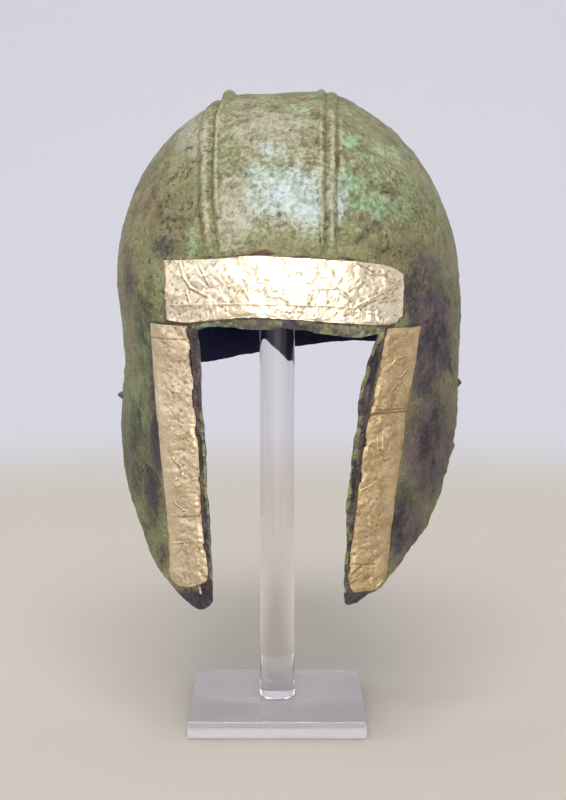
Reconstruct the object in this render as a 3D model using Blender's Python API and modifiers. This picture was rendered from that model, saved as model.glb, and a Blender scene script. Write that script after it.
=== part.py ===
"""Open-faced bronze helmet with gold foil bands, on a clear acrylic display stand.

The helmet is one raised bronze wall: a domed crown with two pairs of fore-and-aft ribs, a square
face opening between two long pointed cheekpieces, and a slightly flared nape. Five thin pieces of
gold foil lie on the brow and along the front edges of the cheekpieces. A round rod stands on a
square block and reaches up inside the crown.

Units are metres, +Z is up and the face looks along -Y. The origin is the middle of the underside
of the stand's block. The tables are in millimetres, which reads better for a thing of this size.
"""
import math
from collections import namedtuple

import bmesh
import bpy

MM = 0.001

# ---- driving dimensions -------------------------------------------------------------------------
GAP = 0.3 * MM                  # clearance between neighbouring pieces

BASE_SIDE = 100 * MM            # clear block of the stand
BASE_HEIGHT = 10 * MM
BASE_BEVEL = 0.5 * MM
ROD_RADIUS = 10 * MM
ROD_TOP = 353.0 * MM            # just below the inside of the crown
ROD_BEVEL = 0.6 * MM
ROD_SIDES = 48

HELMET_AT = (6 * MM, 0.0, 0.0)  # the helmet hangs a little to one side of the rod
HELMET_TURN = math.radians(-2)  # and its face is turned a little towards -X

WALL = 1.6 * MM                 # bronze thickness
EQUATOR = 250.0                 # level where the crown's dome meets the upright wall, mm
CROWN_RISE = 108.5              # crown top above the equator, mm
DOME_POWER = 2.1                # fullness of the dome seen from the front or the side
PLAN_POWER = 2.25               # fullness of the helmet seen from above

RIB_FADE = (271.5, 278.0)       # levels between which the ribs die out above the brow, mm
PANEL_SINK = 2.4                # how far the middle of the crown panel sinks between the ribs, mm
RIB_MEET_Y = -105.0             # depth at which the ribs' brow column applies, mm
FLAT_AT = (67.0, -5.0, 325.0)   # middle of a broad shallow dent that flattens the crown's right side
FLAT_REACH = 52.0               # how far from there the dent reaches, mm
FLAT_DEPTH = 3.0                # its depth in the middle, mm

FOIL = 0.5 * MM                 # thickness given to the gold foil
FOIL_LIFT = 0.4 * MM            # clearance between the foil and the faceted bronze under it
STUD_FOOT_RADIUS = 2.7 * MM
STUD_TIP_RADIUS = 0.7 * MM
STUD_HEIGHT = 3.4 * MM
STUD_SIDES = 16

# ---- mesh density -------------------------------------------------------------------------------
CROWN_STEP = 0.09               # spacing of the dome's rows, as a share of its half length
BROW_STEP = 0.05                # closer spacing where the ribs die out
BROW_SHARE = 0.8                # the closer rows start this far forward
BELT_ROWS = 2                   # rows between the equator and the brow's edge
SKIRT_ROWS = 9                  # rows between the brow's edge level and the hem
FOIL_STEP = 5.0                 # spacing of the foil's grid, mm

# ---- tables, in millimetres and degrees ---------------------------------------------------------
# Wall sections, from the equator down. shift moves the section's middle sideways.
Section = namedtuple("Section", "level shift half_width front_depth back_depth")
SECTIONS = (
    Section(250, 0.4, 95.6, 110, 116),
    Section(240, 1.7, 95.2, 110, 115),
    Section(229, 2.4, 94.6, 110, 113),
    Section(208, 2.6, 93.6, 109, 112),
    Section(196, 2.0, 94.0, 109, 118),
    Section(173, 0.8, 94.8, 108, 124),
    Section(150, 0.0, 93.0, 107, 124),
    Section(125, -0.6, 90.0, 105, 124),
    Section(100, -1.0, 87.0, 103, 124),
    Section(80, -1.0, 85.0, 101, 124),
)

# The face opening: where its two upright edges stand.
FaceEdge = namedtuple("FaceEdge", "level left right")
FACE_EDGES = (
    FaceEdge(234, -42.9, 51.5),
    FaceEdge(222, -42.0, 45.2),
    FaceEdge(207, -41.2, 41.2),
    FaceEdge(190, -40.2, 38.9),
    FaceEdge(172, -39.0, 36.8),
    FaceEdge(150, -38.1, 34.0),
    FaceEdge(121, -36.6, 33.1),
    FaceEdge(85, -35.8, 32.0),
)

# The lower edge of the brow, across the top of the face opening.
Brow = namedtuple("Brow", "x level")
BROW_EDGE = (
    Brow(-42.9, 232.5),
    Brow(-35.0, 235.0),
    Brow(-12.0, 233.8),
    Brow(2.0, 234.6),
    Brow(26.0, 231.4),
    Brow(38.0, 229.8),
    Brow(51.5, 231.2),
)

# The hem: level of the wall's lower edge on each side, by angle from the front.
Hem = namedtuple("Hem", "angle left right")
HEMS = (
    Hem(20.0, 93.0, 91.5),
    Hem(22.5, 88.0, 89.0),
    Hem(25.0, 85.4, 90.2),
    Hem(28.0, 85.1, 92.2),
    Hem(34.8, 89.8, 96.0),
    Hem(41.0, 96.4, 104.0),
    Hem(49.9, 107.1, 115.0),
    Hem(58.7, 124.9, 125.2),
    Hem(65.0, 135.6, 135.7),
    Hem(73.0, 150.5, 154.0),
    Hem(82.0, 168.0, 170.0),
    Hem(93.0, 184.0, 188.0),
    Hem(106.0, 192.0, 199.0),
    Hem(125.0, 195.5, 204.5),
    Hem(145.0, 197.0, 206.5),
    Hem(165.0, 200.5, 206.5),
    Hem(180.0, 203.5, 203.5),
)

# Crown ribs: where each runs over the crown and at the brow, and how far it stands out.
Rib = namedtuple("Rib", "name crown_x brow_x crown_height brow_height half_width")
RIBS = (
    Rib("left_outer", -39.7, -36.5, 1.6, 2.0, 3.3),
    Rib("left_inner", -30.5, -31.0, 3.9, 1.4, 3.4),
    Rib("right_inner", 19.4, 19.8, 2.2, 1.3, 3.2),
    Rib("right_outer", 27.4, 26.2, 2.2, 2.0, 3.2),
)

# Gold foil on the brow: its lower and upper edges at points across the forehead.
BrowFoil = namedtuple("BrowFoil", "x lower upper")
BROW_FOIL = (
    BrowFoil(-59.6, 237.2, 267.2),
    BrowFoil(-51.0, 236.5, 267.9),
    BrowFoil(-30.0, 238.5, 269.2),
    BrowFoil(-16.0, 240.0, 270.6),
    BrowFoil(10.0, 238.9, 269.6),
    BrowFoil(36.6, 236.6, 267.7),
    BrowFoil(49.5, 235.7, 265.9),
    BrowFoil(57.0, 236.0, 263.6),
    BrowFoil(61.6, 239.5, 260.6),
)

# Gold foil on the cheekpieces: the two long edges, from the top end down.
CheekFoil = namedtuple("CheekFoil", "level outer inner")
FOIL_LEFT = (
    CheekFoil(234.6, -68.6, -47.6),
    CheekFoil(215.0, -67.6, -45.8),
    CheekFoil(195.0, -65.8, -44.5),
    CheekFoil(175.0, -64.1, -42.9),
    CheekFoil(153.0, -62.1, -41.6),
    CheekFoil(132.0, -60.3, -41.2),
    CheekFoil(112.0, -59.6, -38.8),
    CheekFoil(101.6, -59.2, -39.0),
    CheekFoil(98.3, -58.0, -43.8),
    CheekFoil(96.0, -54.5, -49.0),
)
FOIL_RIGHT_UPPER = (
    CheekFoil(233.6, 71.1, 53.4),
    CheekFoil(226.0, 69.8, 51.7),
    CheekFoil(212.0, 68.0, 49.4),
    CheekFoil(195.0, 65.0, 46.0),
    CheekFoil(190.2, 63.8, 45.0),
)
FOIL_RIGHT_LOWER = (
    CheekFoil(189.7, 63.6, 44.2),
    CheekFoil(175.0, 62.6, 42.3),
    CheekFoil(154.0, 59.7, 39.7),
    CheekFoil(133.0, 57.3, 37.5),
    CheekFoil(112.0, 55.4, 35.3),
    CheekFoil(100.0, 53.4, 34.2),
    CheekFoil(95.6, 49.0, 36.6),
)
FOIL_SLIVER = (
    CheekFoil(97.4, -43.3, -42.1),
    CheekFoil(93.8, -42.6, -41.6),
)

# The studs near the ears: which side, their level and how far in front of the middle.
Stud = namedtuple("Stud", "name side level y")
STUDS = (
    Stud("side_stud_left", -1, 187.0, -8.0),
    Stud("side_stud_right", 1, 195.0, -8.0),
)

COLOURS = {
    "bronze": (0.20, 0.24, 0.12),
    "gold": (0.78, 0.58, 0.27),
    "acrylic": (0.86, 0.88, 0.92),
}


# ---- scene and material helpers -----------------------------------------------------------------
def clear_scene():
    for item in list(bpy.data.objects):
        bpy.data.objects.remove(item, do_unlink=True)


def new_collection(name):
    collection = bpy.data.collections.new(name)
    bpy.context.scene.collection.children.link(collection)
    return collection


def new_material(name, colour, roughness, metallic, transmission=0.0):
    material = bpy.data.materials.new(name)
    material.use_nodes = True
    shader = material.node_tree.nodes["Principled BSDF"]
    shader.inputs["Base Color"].default_value = (*colour, 1.0)
    shader.inputs["Roughness"].default_value = roughness
    shader.inputs["Metallic"].default_value = metallic
    shader.inputs["Transmission Weight"].default_value = transmission
    return material


def adopt(piece, name, collection, parent, material):
    """Name a piece, put it in the collection under its parent, and give it its material."""
    piece.name = name
    piece.data.name = name
    for owner in list(piece.users_collection):
        owner.objects.unlink(piece)
    collection.objects.link(piece)
    piece.parent = parent
    piece.data.materials.append(material)
    return piece


def add_bevel(piece, width, segments=2):
    bevel = piece.modifiers.new("edge", "BEVEL")
    bevel.width = width
    bevel.segments = segments
    bevel.limit_method = "ANGLE"


# ---- the wall's surface -------------------------------------------------------------------------
def signed_power(value, power):
    return math.copysign(abs(value) ** power, value)


def smoothstep(low, high, value):
    share = min(max((value - low) / (high - low), 0.0), 1.0)
    return share * share * (3 - 2 * share)


def spread(start, end, step):
    """Evenly spaced values from start to end, about a step apart."""
    count = max(round(abs(end - start) / step), 1)
    return [start + (end - start) * k / count for k in range(count + 1)]


def read_table(rows, key, at, column):
    """Smooth value of one column of a table at a place along its key column."""
    keys = [getattr(row, key) for row in rows]
    values = [getattr(row, column) for row in rows]
    if keys[0] > keys[-1]:
        keys.reverse()
        values.reverse()
    at = min(max(at, keys[0]), keys[-1])
    last = len(keys) - 1
    here = max(i for i in range(last) if keys[i] <= at)
    span = keys[here + 1] - keys[here]
    share = (at - keys[here]) / span

    def slope(i):
        before, after = max(i - 1, 0), min(i + 1, last)
        return (values[after] - values[before]) / (keys[after] - keys[before])

    a, b = values[here], values[here + 1]
    rise = share * share * (3 - 2 * share)
    lead_in = share * (1 - share) ** 2 * span * slope(here)
    lead_out = share * share * (share - 1) * span * slope(here + 1)
    return a + (b - a) * rise + lead_in + lead_out


def section(level):
    """Middle, half width, front depth and back depth of the wall at a level."""
    level = min(level, EQUATOR)
    columns = ("shift", "half_width", "front_depth", "back_depth")
    return [read_table(SECTIONS, "level", level, column) for column in columns]


def wall_point(angle, level, radius=1.0):
    """Point of the smooth wall in mm; the angle runs from the front towards +X, in radians."""
    shift, half_width, front, back = section(level)
    depth = front if math.cos(angle) > 0 else back
    x = shift + half_width * radius * signed_power(math.sin(angle), 2 / PLAN_POWER)
    y = -depth * radius * signed_power(math.cos(angle), 2 / PLAN_POWER)
    return x, y, level


def dome_radius(level):
    """How far the dome has drawn in at a level, as a share of its radius at the equator."""
    rise = max(level - EQUATOR, 0.0) / CROWN_RISE
    return (1 - rise ** DOME_POWER) ** (1 / DOME_POWER)


def angle_at(x, level):
    """Angle from the front at which the front half of the wall has this x."""
    shift, half_width, _, _ = section(level)
    sine = abs(x - shift) / (half_width * dome_radius(level))
    return math.copysign(math.asin(min(sine, 1.0) ** (PLAN_POWER / 2)), x - shift)


def crown_point(across, along):
    """Point of the dome in mm, and its angle, from a square grid running from -1 to 1 each way."""
    u = across * math.sqrt(1 - along * along / 2)
    v = along * math.sqrt(1 - across * across / 2)
    turn = math.hypot(u, v) * math.pi / 2
    angle = math.atan2(u, -v)
    radius = abs(math.sin(turn)) ** (2 / DOME_POWER)
    rise = max(math.cos(turn), 0.0) ** (2 / DOME_POWER)
    x, y, _ = wall_point(angle, EQUATOR, radius)
    return (x, y, EQUATOR + CROWN_RISE * rise), angle


def rib_x(rib, y):
    """Where a rib's crest runs: it drifts from its crown place to its brow place."""
    share = smoothstep(0.0, RIB_MEET_Y, y) if y < 0 else 0.0
    return rib.crown_x + (rib.brow_x - rib.crown_x) * share


def flattened(x, y, level):
    """Depth of the dent on the crown's right side, in mm; it stops short of the ribs."""
    away = math.dist((x, y, level), FLAT_AT) / FLAT_REACH
    return FLAT_DEPTH * math.exp(-away * away) * smoothstep(29.0, 45.0, x)


def relief(x, y, level):
    """Height of the ribs, and depth of the panel and the dent, over the smooth wall in mm."""
    share = smoothstep(0.0, RIB_MEET_Y, y) if y < 0 else 0.0
    height = 0.0
    for rib in RIBS:
        off = abs(x - rib_x(rib, y)) / rib.half_width
        if off < 1:
            crest = rib.crown_height + (rib.brow_height - rib.crown_height) * share
            height = max(height, crest * math.cos(off * math.pi / 2) ** 2)
    left, right = rib_x(RIBS[1], y), rib_x(RIBS[2], y)
    across = (2 * x - left - right) / (right - left)
    if abs(across) < 1:
        height -= PANEL_SINK * (1 - across * across)
    fade = smoothstep(*RIB_FADE, level) if y < 0 else 1.0
    return height * fade - flattened(x, y, level)


# ---- the bronze wall ----------------------------------------------------------------------------
def column_for(target, along):
    """Grid coordinate across the dome at which a row meets a line given as x of y."""
    low, high = -1.0, 1.0
    for _ in range(40):
        middle = (low + high) / 2
        (x, y, _), _ = crown_point(middle, along)
        if x < target(y):
            low = middle
        else:
            high = middle
    return (low + high) / 2


def crown_columns(along):
    """Grid columns of one row: each rib gets its crest and feet, the rest are shared out evenly."""
    lines = []
    for outer, inner in ((RIBS[0], RIBS[1]), (RIBS[2], RIBS[3])):
        lines.append(lambda y, rib=outer: rib_x(rib, y) - rib.half_width)
        lines.append(lambda y, rib=outer: rib_x(rib, y))
        lines.append(lambda y, a=outer, b=inner: (rib_x(a, y) + rib_x(b, y)) / 2)
        lines.append(lambda y, rib=inner: rib_x(rib, y))
        lines.append(lambda y, rib=inner: rib_x(rib, y) + rib.half_width)
    fixed = [-1.0] + [column_for(line, along) for line in lines] + [1.0]
    shares = [5] + [1] * 4 + [5] + [1] * 4 + [6]
    columns = [fixed[0]]
    for start, end, count in zip(fixed, fixed[1:], shares):
        columns += [start + (end - start) * (k + 1) / count for k in range(count)]
    return columns


def remap(angle, knots):
    """Carry an angle along when the columns at the face opening's corners move."""
    for (a, a_to), (b, b_to) in zip(knots, knots[1:]):
        if a <= angle <= b:
            return a_to + (b_to - a_to) * (angle - a) / (b - a)
    return angle


def hem_level(angle):
    side = "right" if angle > 0 else "left"
    return read_table(HEMS, "angle", math.degrees(abs(angle)), side)


def build_wall_mesh():
    """The wall's outer skin: a grid over the dome, a belt under it and a skirt behind the face."""
    skin = bmesh.new()
    stations = spread(-1.0, -BROW_SHARE, BROW_STEP)
    stations += spread(-BROW_SHARE, 1.0, CROWN_STEP)[1:]
    rows = len(stations) - 1
    grid, rim = [], []
    for along in stations:
        row = []
        for across in crown_columns(along):
            point, angle = crown_point(across, along)
            vert = skin.verts.new(point)
            row.append((vert, angle))
        grid.append(row)
    last = len(grid[0]) - 1
    for j in range(rows):
        for i in range(last):
            corners = (grid[j][i], grid[j][i + 1], grid[j + 1][i + 1], grid[j + 1][i])
            skin.faces.new([vert for vert, _ in corners])

    # The dome's edge as one loop, from the back round the left side, front and right side.
    rim += [grid[rows][i] for i in range(last // 2, 0, -1)]
    rim += [grid[j][0] for j in range(rows, 0, -1)]
    rim += [grid[0][i] for i in range(last)]
    rim += [grid[j][last] for j in range(rows)]
    rim += [grid[rows][i] for i in range(last, last // 2, -1)]
    angles = [angle for _, angle in rim]
    angles[0] -= 2 * math.pi if angles[0] > 0 else 0.0

    top = FACE_EDGES[0]
    left_corner = angle_at(top.left, top.level)
    right_corner = angle_at(top.right, top.level)
    left_at = min(range(len(rim)), key=lambda k: abs(angles[k] - left_corner))
    right_at = min(range(len(rim)), key=lambda k: abs(angles[k] - right_corner))

    def angle_on(k, level):
        """Angle of one column at a level: the corner columns follow the opening's edges."""
        edge = min(level, top.level)
        left = angle_at(read_table(FACE_EDGES, "level", edge, "left"), edge)
        right = angle_at(read_table(FACE_EDGES, "level", edge, "right"), edge)
        knots = ((angles[0], angles[0]), (angles[left_at], left), (angles[right_at], right),
                 (angles[0] + 2 * math.pi, angles[0] + 2 * math.pi))
        moved = remap(angles[k], knots)
        settled = smoothstep(EQUATOR, top.level, level) if level > top.level else 1.0
        return angles[k] + (moved - angles[k]) * settled

    columns = []
    for k, (vert, _) in enumerate(rim):
        brow_x = wall_point(angle_on(k, top.level), top.level)[0]
        brow = read_table(BROW_EDGE, "x", brow_x, "level")
        levels = [EQUATOR + (brow - EQUATOR) * r / BELT_ROWS for r in range(1, BELT_ROWS + 1)]
        if not left_at < k < right_at:
            hem = brow
            for _ in range(6):
                hem = hem_level(math.remainder(angle_on(k, hem), 2 * math.pi))
            levels += [brow + (hem - brow) * r / SKIRT_ROWS for r in range(1, SKIRT_ROWS + 1)]
        column = [vert]
        column += [skin.verts.new(wall_point(angle_on(k, level), level)) for level in levels]
        columns.append(column)
    for k, column in enumerate(columns):
        neighbour = columns[(k + 1) % len(columns)]
        for r in range(min(len(column), len(neighbour)) - 1):
            skin.faces.new((column[r], column[r + 1], neighbour[r + 1], neighbour[r]))

    skin.normal_update()
    bmesh.ops.recalc_face_normals(skin, faces=skin.faces)
    heights = [relief(*vert.co) for vert in skin.verts]
    for vert, height in zip(skin.verts, heights):
        vert.co += vert.normal * height
        vert.co *= MM
    mesh = bpy.data.meshes.new("helmet_shell")
    skin.to_mesh(mesh)
    skin.free()
    mesh.shade_smooth()
    return mesh


def build_helmet_shell(collection, helmet, bronze):
    shell = bpy.data.objects.new("helmet_shell", build_wall_mesh())
    adopt(shell, "helmet_shell", collection, helmet, bronze)
    sheet = shell.modifiers.new("wall", "SOLIDIFY")
    sheet.thickness = WALL
    sheet.offset = -1
    return shell


# ---- gold foil ----------------------------------------------------------------------------------
def foil_object(name, rows):
    """A foil from rows of wall points in mm, lifted clear of the bronze and given its thickness."""
    skin = bmesh.new()
    grid = [[skin.verts.new(point) for point in row] for row in rows]
    for lower, upper in zip(grid, grid[1:]):
        for i in range(len(lower) - 1):
            skin.faces.new((lower[i], lower[i + 1], upper[i + 1], upper[i]))
    skin.normal_update()
    for vert in skin.verts:
        vert.co = vert.co * MM + vert.normal * FOIL_LIFT
    mesh = bpy.data.meshes.new(name)
    skin.to_mesh(mesh)
    skin.free()
    mesh.shade_smooth()
    foil = bpy.data.objects.new(name, mesh)
    sheet = foil.modifiers.new("foil", "SOLIDIFY")
    sheet.thickness = FOIL
    sheet.offset = 1
    return foil


def on_wall(x, level):
    return wall_point(angle_at(x, level), level, dome_radius(level))


def build_brow_foil(collection, helmet, gold):
    across = spread(BROW_FOIL[0].x, BROW_FOIL[-1].x, FOIL_STEP)
    rows = []
    for share in spread(0.0, 1.0, FOIL_STEP / (BROW_FOIL[0].upper - BROW_FOIL[0].lower)):
        row = []
        for x in across:
            lower = read_table(BROW_FOIL, "x", x, "lower")
            upper = read_table(BROW_FOIL, "x", x, "upper")
            row.append(on_wall(x, lower + (upper - lower) * share))
        rows.append(row)
    foil = foil_object("brow_foil", rows)
    return adopt(foil, "brow_foil", collection, helmet, gold)


def build_cheek_foil(name, table, collection, helmet, gold):
    width = abs(table[0].outer - table[0].inner)
    rows = []
    for level in spread(table[-1].level, table[0].level, FOIL_STEP):
        outer = read_table(table, "level", level, "outer")
        inner = read_table(table, "level", level, "inner")
        left, right = min(outer, inner), max(outer, inner)
        shares = spread(0.0, 1.0, min(FOIL_STEP / width, 1.0))
        rows.append([on_wall(left + (right - left) * share, level) for share in shares])
    foil = foil_object(name, rows)
    return adopt(foil, name, collection, helmet, gold)


# ---- studs and stand ----------------------------------------------------------------------------
def build_stud(stud, collection, helmet, bronze):
    """A blunt spike, its foot just clear of the wall and its axis pointing sideways."""
    _, half_width, front, _ = section(stud.level)
    shift = section(stud.level)[0]
    reach = half_width * (1 - abs(stud.y / front) ** PLAN_POWER) ** (1 / PLAN_POWER)
    foot = (shift + stud.side * reach) * MM + stud.side * GAP
    bpy.ops.mesh.primitive_cone_add(
        vertices=STUD_SIDES, radius1=STUD_FOOT_RADIUS, radius2=STUD_TIP_RADIUS, depth=STUD_HEIGHT,
        location=(foot + stud.side * STUD_HEIGHT / 2, stud.y * MM, stud.level * MM),
        rotation=(0.0, stud.side * math.pi / 2, 0.0))
    piece = bpy.context.object
    piece.data.shade_smooth()
    piece.data.set_sharp_from_angle(angle=math.radians(50))
    return adopt(piece, stud.name, collection, helmet, bronze)


def build_rod(collection, stand, acrylic):
    foot = BASE_HEIGHT + GAP
    bpy.ops.mesh.primitive_cylinder_add(
        vertices=ROD_SIDES, radius=ROD_RADIUS, depth=ROD_TOP - foot,
        location=(0.0, 0.0, (ROD_TOP + foot) / 2))
    piece = bpy.context.object
    add_bevel(piece, ROD_BEVEL, 1)
    piece.data.shade_smooth()
    piece.data.set_sharp_from_angle(angle=math.radians(30))
    return adopt(piece, "stand_rod", collection, stand, acrylic)


def build_base(collection, stand, acrylic):
    bpy.ops.mesh.primitive_cube_add(size=1.0, location=(0.0, 0.0, BASE_HEIGHT / 2))
    piece = bpy.context.object
    for vert in piece.data.vertices:
        vert.co.x *= BASE_SIDE
        vert.co.y *= BASE_SIDE
        vert.co.z *= BASE_HEIGHT
    add_bevel(piece, BASE_BEVEL)
    return adopt(piece, "stand_base", collection, stand, acrylic)


def main():
    clear_scene()
    collection = new_collection("bronze_helmet_on_stand")
    bronze = new_material("patinated_bronze", COLOURS["bronze"], 0.7, 0.3)
    gold = new_material("gold_foil", COLOURS["gold"], 0.3, 1.0)
    acrylic = new_material("clear_acrylic", COLOURS["acrylic"], 0.05, 0.0, 0.9)

    stand = bpy.data.objects.new("stand", None)
    helmet = bpy.data.objects.new("helmet", None)
    for empty in (stand, helmet):
        collection.objects.link(empty)
    helmet.location = HELMET_AT
    helmet.rotation_euler = (0.0, 0.0, HELMET_TURN)

    build_helmet_shell(collection, helmet, bronze)
    build_brow_foil(collection, helmet, gold)
    for name, table in (("cheek_foil_left", FOIL_LEFT),
                        ("cheek_foil_right_upper", FOIL_RIGHT_UPPER),
                        ("cheek_foil_right_lower", FOIL_RIGHT_LOWER),
                        ("foil_sliver_left", FOIL_SLIVER)):
        build_cheek_foil(name, table, collection, helmet, gold)
    for stud in STUDS:
        build_stud(stud, collection, helmet, bronze)
    build_rod(collection, stand, acrylic)
    build_base(collection, stand, acrylic)


main()
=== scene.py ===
"""The looks of the bronze helmet and its clear stand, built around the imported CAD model.

The bronze wall is worked finely: ribs, dents, corrosion, crust and worn edges are real relief, and
its patina is a procedural material steered by soft patches. The gold foils are crumpled sheets with
pressed ornament. The rod and block are smooth clear acrylic.

The helmet's own frame and its tables are in millimetres, as in the part's source: the face looks
along -Y and +X is the viewer's right. Meshes, lights and the camera are in metres.
"""

import math
from collections import namedtuple

import bmesh
import bpy
import numpy as np
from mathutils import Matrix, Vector, noise
from mathutils.geometry import delaunay_2d_cdt


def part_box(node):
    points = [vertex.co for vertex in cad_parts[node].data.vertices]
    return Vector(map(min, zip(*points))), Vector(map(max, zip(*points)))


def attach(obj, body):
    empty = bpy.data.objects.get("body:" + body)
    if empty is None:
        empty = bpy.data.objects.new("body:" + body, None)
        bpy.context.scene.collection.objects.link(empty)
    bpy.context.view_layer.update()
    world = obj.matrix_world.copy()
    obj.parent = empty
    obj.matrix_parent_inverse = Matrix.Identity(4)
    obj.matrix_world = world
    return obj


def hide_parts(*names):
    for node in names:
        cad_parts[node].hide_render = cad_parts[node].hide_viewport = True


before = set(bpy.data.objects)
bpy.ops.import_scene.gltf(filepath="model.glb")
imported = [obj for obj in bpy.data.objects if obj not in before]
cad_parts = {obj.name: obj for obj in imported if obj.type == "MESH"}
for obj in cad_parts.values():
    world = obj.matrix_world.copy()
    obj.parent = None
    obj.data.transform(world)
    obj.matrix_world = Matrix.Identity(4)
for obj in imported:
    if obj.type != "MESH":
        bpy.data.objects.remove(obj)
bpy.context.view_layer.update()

MM = 0.001
BODY = "root"


def table(columns, *rows):
    """A short table: rows whose values are read by the names of its columns."""
    row = namedtuple("Row", columns)
    return tuple(row(*values) for values in rows)


# ---- the helmet's driving dimensions, in mm and degrees, as in the part's source ----
HELMET_AT = (6.0, 0.0, 0.0)
HELMET_TURN = math.radians(-2)
WALL = 1.6
EQUATOR = 250.0
CROWN_RISE = 108.5
DOME_POWER = 2.1
PLAN_POWER = 2.25
PANEL_SINK = 2.4
FLAT_AT = (67.0, -5.0, 325.0)   # middle of the flatter right shoulder of the crown
FLAT_REACH = 52.0
FLAT_DEPTH = 3.0
FLAT_FROM_X = (29.0, 45.0)
SWELL_X = -27.0                 # a low swelling of the crown beside the left ridge
SWELL_WIDTH = 11.0
SWELL_HEIGHT = 1.3
SWELL_LEVELS = (325.0, 348.0)
SWELL_DEPTHS = (-90.0, -30.0)
HEM_WEAR = 0.35
RIGHT_HEM_WEAR = 1.65           # added on the right side

SECTIONS = table(
    "level shift half_width front_depth back_depth",
    (250, 0.4, 95.6, 110, 116),
    (240, 1.7, 95.2, 110, 115),
    (229, 2.4, 94.6, 110, 113),
    (208, 2.6, 93.6, 109, 112),
    (196, 2.0, 94.0, 109, 118),
    (173, 0.8, 94.8, 108, 124),
    (150, 0.0, 93.0, 107, 124),
    (125, -0.6, 90.0, 105, 124),
    (100, -1.0, 87.0, 103, 124),
    (80, -1.0, 85.0, 101, 124),
)

FACE_EDGES = table(
    "level left right",
    (234, -42.9, 51.5),
    (222, -42.0, 45.2),
    (207, -41.2, 41.2),
    (190, -40.2, 38.9),
    (172, -39.0, 36.8),
    (150, -38.1, 34.0),
    (121, -36.6, 33.1),
    (85, -35.8, 32.0),
)

BROW_EDGE = table(
    "x level",
    (-42.9, 232.5),
    (-35.0, 235.0),
    (-12.0, 233.8),
    (2.0, 234.6),
    (26.0, 231.4),
    (38.0, 229.8),
    (51.5, 231.2),
)

# The back of the hem lies up to 2.5 mm off the part's, where it shows through the face opening.
HEMS = table(
    "angle left right",
    (20.0, 93.0, 91.5),
    (22.5, 88.0, 89.0),
    (25.0, 85.4, 90.2),
    (28.0, 85.1, 92.2),
    (34.8, 89.8, 96.0),
    (41.0, 96.4, 104.0),
    (49.9, 107.1, 115.0),
    (58.7, 124.9, 125.2),
    (65.0, 135.6, 135.7),
    (73.0, 150.5, 154.0),
    (82.0, 168.0, 170.0),
    (93.0, 184.0, 188.0),
    (106.0, 192.0, 199.0),
    (125.0, 195.5, 204.5),
    (145.0, 194.5, 207.5),
    (165.0, 199.5, 207.2),
    (180.0, 203.5, 203.5),
)

# ---- fine relief of the bronze ----
# Each pair of ribs is a broad bead and a narrow ridge, with furrows beside them. Their lines are
# given as x at depths along the crown; behind the top they run straight back.
LEFT_RIBS = table(
    "y outer_furrow bead furrow ridge",
    (0, -44.0, -39.7, -34.9, -30.8),
    (-30, -44.5, -39.9, -35.4, -31.2),
    (-49, -45.2, -40.6, -36.9, -33.6),
    (-68, -44.4, -40.6, -36.8, -34.4),
    (-80, -43.6, -39.8, -36.4, -33.9),
    (-92, -42.5, -38.9, -35.7, -32.9),
    (-99, -40.2, -36.8, -34.0, -31.5),
    (-104, -37.6, -34.6, -31.4, -29.4),
)
RIGHT_RIBS = table(
    "y ridge furrow bead outer_furrow",
    (0, 18.4, 21.6, 25.4, 28.4),
    (-30, 18.9, 21.7, 25.3, 28.1),
    (-60, 19.2, 21.8, 25.1, 27.7),
    (-95, 19.4, 22.1, 25.4, 27.9),
    (-106, 20.3, 22.5, 25.3, 27.8),
)
# Every rib rises at its crest and falls to two feet; its height changes from the crown to the brow.
RIBS = table(
    "side foot crest far_foot crown brow",
    ("left", "outer_furrow", "bead", "furrow", 1.3, 1.1),
    ("left", "furrow", "ridge", "foot", 3.8, 1.0),
    ("right", "foot", "ridge", "furrow", 1.0, 1.0),
    ("right", "furrow", "bead", "outer_furrow", 0.7, 1.1),
)
RIB_MEET_Y = -105.0
RIB_FADE = (269.5, 277.0)       # levels between which the ribs rise out of the brow
NAPE_FADE = (252.0, 266.0)      # and out of the nape
FURROW_MARK_FADE = (268.5, 272.0)
# The furrows are darkened with painted shade.
FURROW_MARK = 0.75              # how strongly the furrows are darkened
FURROW_DEPTH = 0.4
FURROW_WIDTH = 0.95
INNER_FOOT = 0.75               # width of a ridge's inner flank, as a share of its outer one
SHOULDER = 2.6                  # width of the fine columns outside each pair of ribs
SCAB_HEIGHT = 0.5
FOIL_CALM = 0.75                # how much of the roughness the foils press flat
PANEL_FOOT = 276.0              # level of the crusty foot of the panel above the brow foil
RUGGED_FROM_X = (48, 62)        # the right side below the crown is rougher
FRONT_Y = -40                   # only points in front of this are on the face side
ELSEWHERE = 99.0                # distance given to points that aren't on that side

# Layers of fractal noise: height in mm, width of the largest bumps in mm, octaves and seed.
LAYER = "height size octaves seed"
HAMMERING = table(LAYER, (0.55, 34.0, 2, 1.0), (0.22, 12.0, 1, 2.0))
RIB_WEAR = table(LAYER, (0.45, 17.0, 3, 12.0))
CRUST = table(LAYER, (0.32, 5.0, 3, 3.0), (0.15, 2.6, 2, 4.0))
FOOT_CRUST = table(LAYER, (0.35, 3.6, 3, 14.0))
RUGGED_CRUST = table(LAYER, (0.55, 7.0, 4, 16.0))
SCABS = table(LAYER, (1.0, 6.5, 3, 7.0))
SCAB_AREAS = table(LAYER, (1.0, 26.0, 2, 6.0))
EDGE_LUMPS = table(LAYER, (1.0, 5.0, 3, 9.0))
CRACK_WANDER = table(LAYER, (0.9, 7.0, 2, 13.0))
SCAR_WANDER = table(LAYER, (1.5, 4.5, 3, 15.0))

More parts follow.
